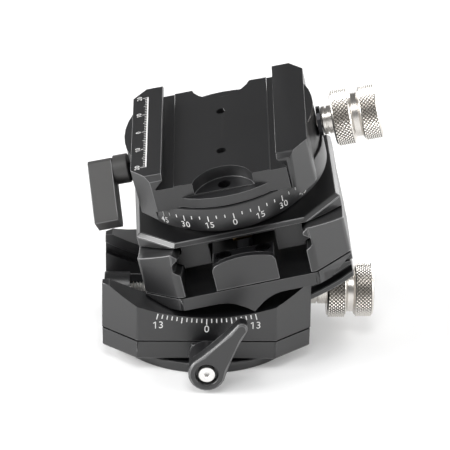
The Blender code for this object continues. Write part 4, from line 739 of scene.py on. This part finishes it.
def background_share(nodes, links):
    """One for camera, mirror and glass rays, and nought for the rays that light the object."""
    path = nodes.new("ShaderNodeLightPath").outputs
    either = worked_out(nodes, links, "MAXIMUM", path["Is Camera Ray"], path["Is Glossy Ray"])
    return worked_out(nodes, links, "MAXIMUM", either, path["Is Transmission Ray"])


def make_floor(sizes):
    """White paper that takes shadows, and that whitens with distance to the eye and in mirrors."""
    floor = start_plane("floor", FLOOR_SIZE)
    with editing(floor):
        bpy.ops.mesh.select_all(action="SELECT")
        bpy.ops.mesh.subdivide(number_cuts=3)
    finish, nodes, links = new_material("floor_paper")
    nodes.remove(nodes["Principled BSDF"])
    place = nodes.new("ShaderNodeTexCoord").outputs["Object"]
    grain = noise(nodes, links, place, PAPER_GRAIN, FINE_DETAIL)
    paper = nodes.new("ShaderNodeBsdfDiffuse")
    tone = mixed(nodes, links, grain, shade(sizes.floor, PAPER_TONE), shade(sizes.floor, 1.0))
    links.new(tone, paper.inputs["Color"])
    away = nodes.new("ShaderNodeVectorMath")
    away.operation = "LENGTH"
    links.new(place, away.inputs[0])
    whiter = ranged(nodes, links, away.outputs["Value"], NEAR_PAPER, FAR_PAPER,
                    sizes.floor_glow, FAR_GLOW)
    glow = nodes.new("ShaderNodeEmission")
    seen = worked_out(nodes, links, "MULTIPLY", background_share(nodes, links), whiter)
    links.new(seen, glow.inputs["Strength"])
    both = nodes.new("ShaderNodeAddShader")
    links.new(paper.outputs[0], both.inputs[0])
    links.new(glow.outputs[0], both.inputs[1])
    links.new(both.outputs[0], nodes["Material Output"].inputs["Surface"])
    floor.data.materials.append(finish)


def make_world(sizes):
    """White to the eye, white low down and dimmer overhead in mirrors, and even for light."""
    world = bpy.data.worlds.new("studio")
    bpy.context.scene.world = world
    world.use_nodes = True
    nodes = world.node_tree.nodes
    links = world.node_tree.links
    sky = nodes["Background"]
    sky.inputs["Color"].default_value = (1.0, 1.0, 1.0, 1.0)
    split = nodes.new("ShaderNodeSeparateXYZ")
    links.new(nodes.new("ShaderNodeTexCoord").outputs["Generated"], split.inputs["Vector"])
    dimming = ranged(nodes, links, split.outputs["Z"], LOW_SKY, HIGH_SKY, 1.0, sizes.ambient)
    mirrored = mixed(nodes, links, background_share(nodes, links), sizes.ambient, dimming, "FLOAT")
    path = nodes.new("ShaderNodeLightPath").outputs
    strength = mixed(nodes, links, path["Is Camera Ray"], mirrored, 1.0, "FLOAT")
    links.new(strength, sky.inputs["Strength"])


def soft_box(name, place, width, brightness):
    """A square soft box aimed at the head, with the same brightness whatever its width."""
    light = bpy.data.lights.new(name, "AREA")
    light.shape = "SQUARE"
    light.size = width
    light.energy = brightness * pi * width ** 2
    holder = bpy.data.objects.new(name, light)
    bpy.context.scene.collection.objects.link(holder)
    holder.location = place
    holder.rotation_euler = (LAMP_TARGET - Vector(place)).to_track_quat("-Z", "Y").to_euler()


def make_camera():
    """The photograph's view: far off, a little from the right and looking down at the head."""
    distance = 0.74916
    target = Vector((0.00586, 0.0, 0.03729))
    yaw, pitch, roll = radians(1.2), radians(25.41), radians(-0.79)
    ahead = Vector((sin(yaw) * cos(pitch), cos(yaw) * cos(pitch), -sin(pitch)))
    level = Vector((cos(yaw), -sin(yaw), 0.0))
    below = ahead.cross(level)
    right = cos(roll) * level + sin(roll) * below
    down = cos(roll) * below - sin(roll) * level
    place = target - ahead * distance
    lens = bpy.data.cameras.new("camera")
    lens.sensor_width = 36.0
    lens.lens = 188.16
    lens.clip_start = 0.01
    lens.clip_end = 20.0
    camera = bpy.data.objects.new("camera", lens)
    bpy.context.scene.collection.objects.link(camera)
    camera.matrix_world = Matrix((
        (right.x, -down.x, -ahead.x, place.x),
        (right.y, -down.y, -ahead.y, place.y),
        (right.z, -down.z, -ahead.z, place.z),
        (0.0, 0.0, 0.0, 1.0)))
    bpy.context.scene.camera = camera
    bpy.context.scene.view_settings.view_transform = "Standard"


# Housings and clamp: edges shorter than these go before their piece is rounded

CARRIAGE_LEAST = 0.0006
RAIL_LEAST = 0.0005
JAW_LEAST = 0.0006
CLAMP_LEAST = 0.0001


class HEAD_OT_housings(bpy.types.Operator):
    """Round the edges of the base, the carriage and the tilting plate"""

    bl_idname = "head.housings"
    bl_label = "Housings"

    def execute(self, context):
        sizes = context.scene.head_edges
        rounded_copy("base_cover", sizes.fine, LEVEL, sizes.base_corner, measure="WIDTH",
                     join=SLIVER, front_only=True, seam=BASE_SEAM)
        rounded_copy("base_body", sizes.fine, LEVEL, sizes.base_corner, measure="ABSOLUTE",
                     front_only=True, seam=BASE_SEAM)
        rounded_copy("carriage_plate", sizes.fine, CARRIAGE_POSE, sizes.carriage_corner,
                     least=CARRIAGE_LEAST, join=SLIVER, front_only=True)
        for node in ("guide_rail_left", "guide_rail_right"):
            rounded_copy(node, sizes.housing, CARRIAGE_POSE, sizes.carriage_corner,
                         least=RAIL_LEAST, shortest=SHORTEST_RAIL_CORNER)
        rounded_copy("lower_slide", sizes.housing, CARRIAGE_POSE)
        for node in ("worm_block_front", "worm_block_rear"):
            rounded_copy(node, sizes.housing, CARRIAGE_POSE, measure="ABSOLUTE")
        for node in ("tilt_plate", "upper_slide"):
            rounded_copy(node, sizes.housing, TILT_POSE)
        return {"FINISHED"}


class HEAD_OT_clamp(bpy.types.Operator):
    """Round the edges of the clamp body and its movable jaw"""

    bl_idname = "head.clamp"
    bl_label = "Dovetail clamp"

    def execute(self, context):
        sizes = context.scene.head_edges
        rounded_copy("clamp_body", sizes.clamp, CLAMP_POSE, measure="ABSOLUTE", least=CLAMP_LEAST)
        rounded_copy("movable_jaw", sizes.clamp, CLAMP_POSE, sizes.jaw_corner, measure="ABSOLUTE",
                     least=JAW_LEAST, join=SLIVER, front_only=True)
        return {"FINISHED"}


# Levers: profiles of (radius, distance along the lever's axis)

FRONT_LEVER_SHARE = 1.3
RECESS = ((0.0, -0.0022), (0.00352, -0.0022), (0.00352, -0.00018), (0.00372, 0.0),
          (0.00372, 0.0006), (0.0, 0.0006), (0.0, -0.0022))
BARREL = ((0.0, 0.0355), (0.0032, 0.0355), (0.0047, 0.0355), (0.0047, 0.0312), (0.0044, 0.0309),
          (0.0, 0.0309), (0.0, 0.0355))
SCREW_HEAD = ((0.0, 0.0), (0.00225, 0.0), (0.00248, -0.00008), (0.00259, -0.0003),
              (0.0026, -0.0018))
SHANK_RADIUS = 0.0015
SHANK_TIP_RADIUS = 0.0012
SHANK_TIP = 0.0004
SOCKET = ((0.0, -0.0013), (0.00085, -0.0012), (0.00085, -0.0001), (0.0011, 0.0001), (0.0, 0.0001),
          (0.0, -0.0013))


class HEAD_OT_levers(bpy.types.Operator):
    """Round the front lever and the side paddle, and turn the recess and the barrel"""

    bl_idname = "head.levers"
    bl_label = "Levers"

    def execute(self, context):
        width = context.scene.head_edges.lever
        lever = rounded_copy("base_lever", width * FRONT_LEVER_SHARE, LEVEL, measure="ABSOLUTE",
                             small_rim=LEVER_RIM)
        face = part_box("base_lever")[0].y
        cut_round(lever, RECESS, ROUND_STEPS, along_axis("-y", (0.0, face, LEVER_AXIS_HEIGHT)))
        smooth(lever, SMOOTH_ANGLE)
        paddle = rounded_copy("pan_lever", width, CLAMP_POSE, measure="ABSOLUTE", coat="lever_coat")
        centre = (0.0, PADDLE_AXIS_Y, PADDLE_AXIS_HEIGHT)
        barrel = turned("barrel", BARREL, ROUND_STEPS, along_axis("-x", centre, CLAMP_POSE))
        smooth(barrel)
        barrel.data.materials.append(finish_of("lever_coat"))
        merge_pieces("pan_lever_finished", [paddle, barrel])
        return {"FINISHED"}


class HEAD_OT_lever_screw(bpy.types.Operator):
    """Turn the bright socket screw of the front lever"""

    bl_idname = "head.lever_screw"
    bl_label = "Lever screw"

    def execute(self, context):
        low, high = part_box("base_lever_screw")
        stand = along_axis("-y", (0.0, low.y, LEVER_AXIS_HEIGHT))
        length = high.y - low.y
        profile = (*SCREW_HEAD, (SHANK_RADIUS, SCREW_HEAD[-1][1]),
                   (SHANK_RADIUS, SHANK_TIP - length), (SHANK_TIP_RADIUS, -length),
                   (0.0, -length), (0.0, 0.0))
        screw = turned("base_lever_screw_finished", profile, ROUND_STEPS, stand)
        cut_round(screw, SOCKET, SOCKET_STEPS, stand)
        smooth(screw)
        give(screw, "base_lever", ("stainless_bright",), ("base_lever_screw",))
        return {"FINISHED"}


# Discs: profiles of (radius, height)

DISC = ((0.0079, 0.0), (0.0296, 0.0), (0.0300, 0.0001), (0.0303, 0.0004), (0.0304, 0.0008),
        (0.0304, 0.0026), (0.0303, 0.0030), (0.0300, 0.0033), (0.0296, 0.0034), (0.0123, 0.0034),
        (0.0120, 0.0037), (0.0120, 0.0080), (0.0117, 0.0083), (0.0079, 0.0083), (0.0079, 0.0))
RING = ((0.0123, 0.0458), (0.0262, 0.0458), (0.0262, 0.0498), (0.03065, 0.0498),
        (0.03093, 0.04992), (RING_RADIUS, 0.0502), (RING_RADIUS, 0.0573), (0.03093, 0.05758),
        (0.03065, 0.0577), (0.0123, 0.0577), (0.0123, 0.0458))


class HEAD_OT_discs(bpy.types.Operator):
    """Turn the mounting disc and the pan scale ring"""

    bl_idname = "head.discs"
    bl_label = "Discs"

    def execute(self, context):
        for node, profile, pose in (("mount_disc", DISC, LEVEL),
                                    ("pan_scale_ring", RING, TILT_POSE)):
            piece = turned(f"{node}_finished", profile, DISC_STEPS, pose)
            smooth(piece)
            give(piece, body_of(node), ("anodised_black",), (node,))
        return {"FINISHED"}


# Knobs: where each stands, with the starts of its collar and its first ring along its axis

KNOBS = (("lower_knob", "x", (0.0, 0.0, LOWER_WORM_HEIGHT), LEVEL, 0.0332, 0.0388),
         ("upper_knob", "y", (0.0, 0.0, UPPER_WORM_HEIGHT), CARRIAGE_POSE, 0.0286, 0.0336),
         ("clamp_knob", "x", (0.0, 0.0, CLAMP_SCREW_HEIGHT), CLAMP_POSE, 0.0321, 0.0354))
BROKEN_EDGE = 0.0003
SLIT_PLACE = 0.45
SLIT_DEPTH = 0.0006
SLIT_HALF = 0.0002
END_GROOVE = 0.0016
END_GROOVE_WIDTH = 0.0010
SPARE_ROWS = 3


def knurled_sleeve(name, outer, width, depth, count):
    """A band of pointed diamonds: one column of turned squares, cut square, raised and repeated."""
    root = outer - depth
    cell = FULL_TURN * root / count
    side = cell / 2.0 ** 0.5
    rows = ceil(width / cell) + SPARE_ROWS
    bpy.ops.object.select_all(action="DESELECT")
    bpy.ops.mesh.primitive_grid_add(
        x_subdivisions=2 * rows, y_subdivisions=2 * rows, size=2.0 * rows * side)
    piece = bpy.context.active_object
    piece.name = name
    with editing(piece):
        bpy.ops.mesh.select_all(action="SELECT")
        bpy.ops.transform.rotate(
            value=pi / 4.0, orient_axis="Z", center_override=(0.0, 0.0, 0.0))
        bpy.ops.mesh.poke(offset=depth)
        for place, normal in (((cell / 2.0, 0.0, 0.0), (1.0, 0.0, 0.0)),
                              ((-cell / 2.0, 0.0, 0.0), (-1.0, 0.0, 0.0)),
                              ((0.0, width / 2.0, 0.0), (0.0, 1.0, 0.0)),
                              ((0.0, -width / 2.0, 0.0), (0.0, -1.0, 0.0))):
            bpy.ops.mesh.select_all(action="SELECT")
            bpy.ops.mesh.bisect(plane_co=place, plane_no=normal, clear_outer=True)
    repeat = piece.modifiers.new("round", "ARRAY")
    repeat.count = count
    repeat.use_relative_offset = False
    repeat.use_constant_offset = True
    repeat.constant_offset_displace = (cell, 0.0, 0.0)
    repeat.use_merge_vertices = True
    repeat.merge_threshold = WELD
    apply_modifiers(piece)
    # Heights of the knurl's points, which set the painted shade in its pits
    heights = piece.data.attributes.new("knurl_height", "FLOAT", "POINT")
    for vertex, stored in zip(piece.data.vertices, heights.data):
        stored.value = vertex.co.z / depth
    wrap(piece, root)
    with editing(piece, "VERT"):
        bpy.ops.mesh.select_all(action="SELECT")
        bpy.ops.mesh.remove_doubles(threshold=WELD * 2.0)
        bpy.ops.mesh.normals_make_consistent(inside=False)
    return piece


def band_profile(start, stop, radius, sizes):
    """One ring in section: rounded rims either side of the bed that its knurl lies on."""
    rim, low = sizes.rim, sizes.knurl_depth
    bed = radius - low
    half = [(-rim, 0.0), (-rim * 0.55, rim * 0.12), (-rim * 0.12, rim * 0.50), (low * 0.35, rim),
            (-low * 0.3, rim * 1.1)]
    return ([(bed + out, start + along) for out, along in half]
            + [(bed + out, stop - along) for out, along in reversed(half)])


def knob(name, axis, centre, pose, collar_start, ring_start, sizes):
    """A turned double-ring knob with two knurled bands and a collar cut by a slit."""
    first = ring_start + sizes.ring_width
    second = first + sizes.groove_width
    end = second + sizes.ring_width
    collar = sizes.collar_radius
    groove = sizes.groove_radius
    slit = collar_start + (ring_start - collar_start) * SLIT_PLACE
    face = sizes.end_radius - sizes.knurl_depth - sizes.rim - END_GROOVE
    bands = ((ring_start, first, sizes.ring_radius), (second, end, sizes.end_radius))
    profile = [(0.0, collar_start), (collar - BROKEN_EDGE, collar_start),
               (collar, collar_start + BROKEN_EDGE), (collar, slit - BROKEN_EDGE),
               (collar - SLIT_DEPTH, slit - SLIT_HALF), (collar - SLIT_DEPTH, slit + SLIT_HALF),
               (collar, slit + BROKEN_EDGE), (collar, ring_start),
               *band_profile(*bands[0], sizes),
               (groove + BROKEN_EDGE, first), (groove, first + BROKEN_EDGE),
               (groove, second - BROKEN_EDGE), (groove + BROKEN_EDGE, second),
               *band_profile(*bands[1], sizes),
               (face, end), (face - BROKEN_EDGE, end - BROKEN_EDGE),
               (face - END_GROOVE_WIDTH + BROKEN_EDGE, end - BROKEN_EDGE),
               (face - END_GROOVE_WIDTH, end), (0.0, end)]
    body = turned(name, profile, KNOB_STEPS)
    body.data.materials.append(finish_of(f"stainless_{axis}"))
    smooth(body, KNOB_SMOOTH_ANGLE)
    pieces = [body]
    for start, stop, radius in bands:
        width = stop - start - 2.0 * sizes.rim
        sleeve = knurled_sleeve(f"{name}_knurl", radius, width, sizes.knurl_depth,
                                sizes.knurl_count)
        sleeve.data.transform(Matrix.Translation((0.0, 0.0, (start + stop) / 2.0)))
        sleeve.data.materials.append(finish_of(f"knurled_{axis}"))
        pieces.append(sleeve)
    piece = merge_pieces(name, pieces)
    piece.data.transform(along_axis(axis, centre, pose))
    return piece


class HEAD_OT_knobs(bpy.types.Operator):
    """Turn and knurl the three double-ring knobs"""

    bl_idname = "head.knobs"
    bl_label = "Knobs"

    def execute(self, context):
        sizes = context.scene.head_knobs
        for node, axis, centre, pose, collar_start, ring_start in KNOBS:
            piece = knob(f"{node}_finished", axis, centre, pose, collar_start, ring_start, sizes)
            give(piece, body_of(node), replaced=(node,))
        return {"FINISHED"}


# Markings

PAINT_HEIGHT = 0.00003

# A drawn one: width, height and centre of its strokes, and a figure's step, in type sizes
ONE_UPRIGHT = (0.085, 0.70, 0.06, 0.0)
ONE_FLAG = (0.24, 0.085, -0.045, 0.255)
FLAG_SLANT = radians(38.0)
FIGURE_STEP = 0.56


def mark(width, height, centre, turn=0.0):
    """One tick of paint, a thin plate flat in the XY plane."""
    piece = start_plane("tick", 1.0)
    with editing(piece):
        bpy.ops.mesh.select_all(action="SELECT")
        bpy.ops.transform.resize(value=(width, height, 1.0))
        bpy.ops.mesh.extrude_region_move(
            TRANSFORM_OT_translate={"value": (0.0, 0.0, PAINT_HEIGHT)})
        bpy.ops.mesh.select_all(action="SELECT")
        bpy.ops.mesh.normals_make_consistent(inside=False)
    piece.data.transform(Matrix.Translation((*centre, 0.0)) @ Matrix.Rotation(turn, 4, "Z"))
    return piece


def figure(words, size):
    """Plain figures, made a thin mesh, centred on the origin."""
    bpy.ops.object.select_all(action="DESELECT")
    bpy.ops.object.text_add()
    piece = bpy.context.active_object
    piece.data.body = words
    piece.data.size = size
    piece.data.align_x = "CENTER"
    piece.data.align_y = "CENTER"
    piece.data.extrude = PAINT_HEIGHT / 2.0
    bpy.ops.object.convert(target="MESH")
    piece = bpy.context.active_object
    piece.data.transform(Matrix.Translation((0.0, 0.0, PAINT_HEIGHT / 2.0)))
    return piece


def figure_one(size):
    """A one with a flag: an upright and a short slanted stroke."""
    strokes = [mark(size * width, size * height, (size * x, size * y), turn)
               for (width, height, x, y), turn in ((ONE_UPRIGHT, 0.0), (ONE_FLAG, FLAG_SLANT))]
    return merge_pieces("one", strokes)


def number(words, size, centre, turn=0.0):
    """A number of one or two figures, centred on a point of the XY plane."""
    step = size * FIGURE_STEP
    figures = []
    for place, word in enumerate(words):
        piece = figure_one(size) if word == "1" else figure(word, size)
        along = step * (place - (len(words) - 1) / 2.0)
        piece.data.transform(Matrix.Translation((along, 0.0, 0.0)))
        figures.append(piece)
    piece = merge_pieces("number", figures)
    piece.data.transform(Matrix.Translation((*centre, 0.0)) @ Matrix.Rotation(turn, 4, "Z"))
    return piece


# Tilt scale: ticks below an arc about the lower tilt axis, every fifth one longer
TILT_SCALE_RADIUS = 0.0674
TILT_SCALE_STEP = radians(1.3)
TILT_TICK, LONG_TILT_TICK = 0.0014, 0.0020
TILT_NUMBERS = (("13", -0.0152, 0.0160), ("0", 0.0, 0.0146), ("13", 0.0152, 0.0160))


class HEAD_OT_base_scale(bpy.types.Operator):
    """Mark the tilt scale on the front of the base"""

    bl_idname = "head.base_scale"
    bl_label = "Tilt scale"

    def execute(self, context):
        sizes = context.scene.head_markings
        marks = []
        for step in range(-10, 11):
            angle = TILT_SCALE_STEP * step
            length = LONG_TILT_TICK if step % 5 == 0 else TILT_TICK
            reach = TILT_SCALE_RADIUS + length / 2.0
            place = (reach * sin(angle), LOWER_AXIS_HEIGHT - reach * cos(angle))
            marks.append(mark(sizes.tick, length, place, angle))
        for words, x, z in TILT_NUMBERS:
            marks.append(number(words, sizes.base_number, (x, z)))
        scale = merge_pieces("base_tilt_scale", marks)
        scale.data.transform(Matrix.Translation((0.0, BASE_FACE, 0.0))
                             @ Matrix.Rotation(QUARTER_TURN, 4, "X"))
        give(scale, "base", ("marking_paint",))
        return {"FINISHED"}


# Pan scale: ticks every 5 degrees down from one height, every third one longer with its number
PAN_SCALE_TOP = 0.05516
PAN_TICK, LONG_PAN_TICK = 0.0011, 0.0020
PAN_TICK_SHARE = 0.9
PAN_NUMBER_DROP = 0.0034


class HEAD_OT_ring_scale(bpy.types.Operator):
    """Mark the pan scale round the ring"""

    bl_idname = "head.ring_scale"
    bl_label = "Pan scale"

    def execute(self, context):
        sizes = context.scene.head_markings
        marks = []
        for degrees in range(-50, 51, 5):
            long = degrees % 15 == 0
            length = LONG_PAN_TICK if long else PAN_TICK
            around = radians(degrees) * RING_RADIUS
            place = (around, PAN_SCALE_TOP - length / 2.0)
            marks.append(mark(sizes.tick * PAN_TICK_SHARE, length, place))
            if long:
                place = (around, PAN_SCALE_TOP - PAN_NUMBER_DROP)
                marks.append(number(str(abs(degrees)), sizes.ring_number, place))
        scale = merge_pieces("pan_ring_scale", marks)
        wrap(scale, RING_RADIUS)
        scale.data.transform(TILT_POSE @ Matrix.Rotation(-QUARTER_TURN, 4, "Z"))
        give(scale, "tilt", ("marking_paint",))
        return {"FINISHED"}


# Jaw ruler: a line along the jaw, with a tick outwards every millimetre
RULER_LINE_X = -0.0229
RULER_LINE_WIDTH = 0.00042
RULER_LINE_LENGTH = 0.0404
RULER_NUMBER_X = -0.0256
RULER_STEP = 0.001
RULER_TICK_WIDTH = 0.00018
RULER_TICK, MIDDLE_RULER_TICK, LONG_RULER_TICK = 0.0009, 0.0013, 0.0017


class HEAD_OT_jaw_ruler(bpy.types.Operator):
    """Mark the ruler on the fixed jaw"""

    bl_idname = "head.jaw_ruler"
    bl_label = "Jaw ruler"

    def execute(self, context):
        sizes = context.scene.head_markings
        marks = [mark(RULER_LINE_WIDTH, RULER_LINE_LENGTH, (RULER_LINE_X, 0.0))]
        for step in range(-20, 21):
            along = step * RULER_STEP
            long = step % 10 == 0
            length = LONG_RULER_TICK if long else MIDDLE_RULER_TICK if step % 5 == 0 else RULER_TICK
            marks.append(mark(length, RULER_TICK_WIDTH, (RULER_LINE_X - length / 2.0, along)))
            if long:
                marks.append(number(str(abs(step)), sizes.ruler_number, (RULER_NUMBER_X, along),
                                    QUARTER_TURN))
        ruler = merge_pieces("fixed_jaw_ruler", marks)
        ruler.data.transform(CLAMP_POSE @ Matrix.Translation((0.0, 0.0, CLAMP_JAW_TOP)))
        give(ruler, "clamp", ("marking_paint",))
        return {"FINISHED"}


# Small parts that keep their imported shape

SLOT_FINISHES = {"black_anodised": "anodised_black", "stainless": "stainless_z",
                 "brass": "brass_cut", "black_steel": "blackened_steel"}
# The lower worm's paler steel is a painted highlight, and the upper worm's dark steel is painted
# shade
NODE_FINISHES = {"lower_worm": "stainless_bright", "upper_worm": "blackened_steel",
                 "clamp_screw": "stainless_x", "pan_lever_screw": "blackened_steel"}


class HEAD_OT_small_parts(bpy.types.Operator):
    """Give the worms, screws, bushes, racks and pins their metals"""

    bl_idname = "head.small_parts"
    bl_label = "Small parts"

    def execute(self, context):
        for part in frame["record"]["subparts"]:
            piece = frame["nodes"][part["node"]]
            if piece.hide_render:
                continue
            kind = NODE_FINISHES.get(part["node"], SLOT_FINISHES[part["material_slot"]])
            for holder in piece.material_slots:
                holder.material = finish_of(kind)
        return {"FINISHED"}


OPERATORS = (HEAD_OT_stage, HEAD_OT_housings, HEAD_OT_clamp, HEAD_OT_levers, HEAD_OT_lever_screw,
             HEAD_OT_discs, HEAD_OT_knobs, HEAD_OT_base_scale, HEAD_OT_ring_scale,
             HEAD_OT_jaw_ruler, HEAD_OT_small_parts)
GROUPS = (("head_finishes", FinishColours), ("head_edges", EdgeSizes), ("head_knobs", KnobSizes),
          ("head_markings", MarkingSizes), ("head_stage", StageSizes))


class HEAD_PT_pieces(bpy.types.Panel):
    """Lists the head's pieces and the stage"""

    bl_label = "Geared tripod head"
    bl_idname = "HEAD_PT_pieces"
    bl_space_type = "VIEW_3D"
    bl_region_type = "UI"
    bl_category = "Tripod Head"

    def draw(self, context):
        for made in OPERATORS:
            self.layout.operator(made.bl_idname)


def register():
    for name, group in GROUPS:
        bpy.utils.register_class(group)
        setattr(bpy.types.Scene, name, PointerProperty(type=group))
    for made in (*OPERATORS, HEAD_PT_pieces):
        bpy.utils.register_class(made)


def unregister():
    for made in (HEAD_PT_pieces, *reversed(OPERATORS)):
        bpy.utils.unregister_class(made)
    for name, group in reversed(GROUPS):
        delattr(bpy.types.Scene, name)
        bpy.utils.unregister_class(group)


def main():
    register()
    for made in OPERATORS:
        family, action = made.bl_idname.split(".")
        getattr(getattr(bpy.ops, family), action)()


if __name__ == "__main__":
    main()
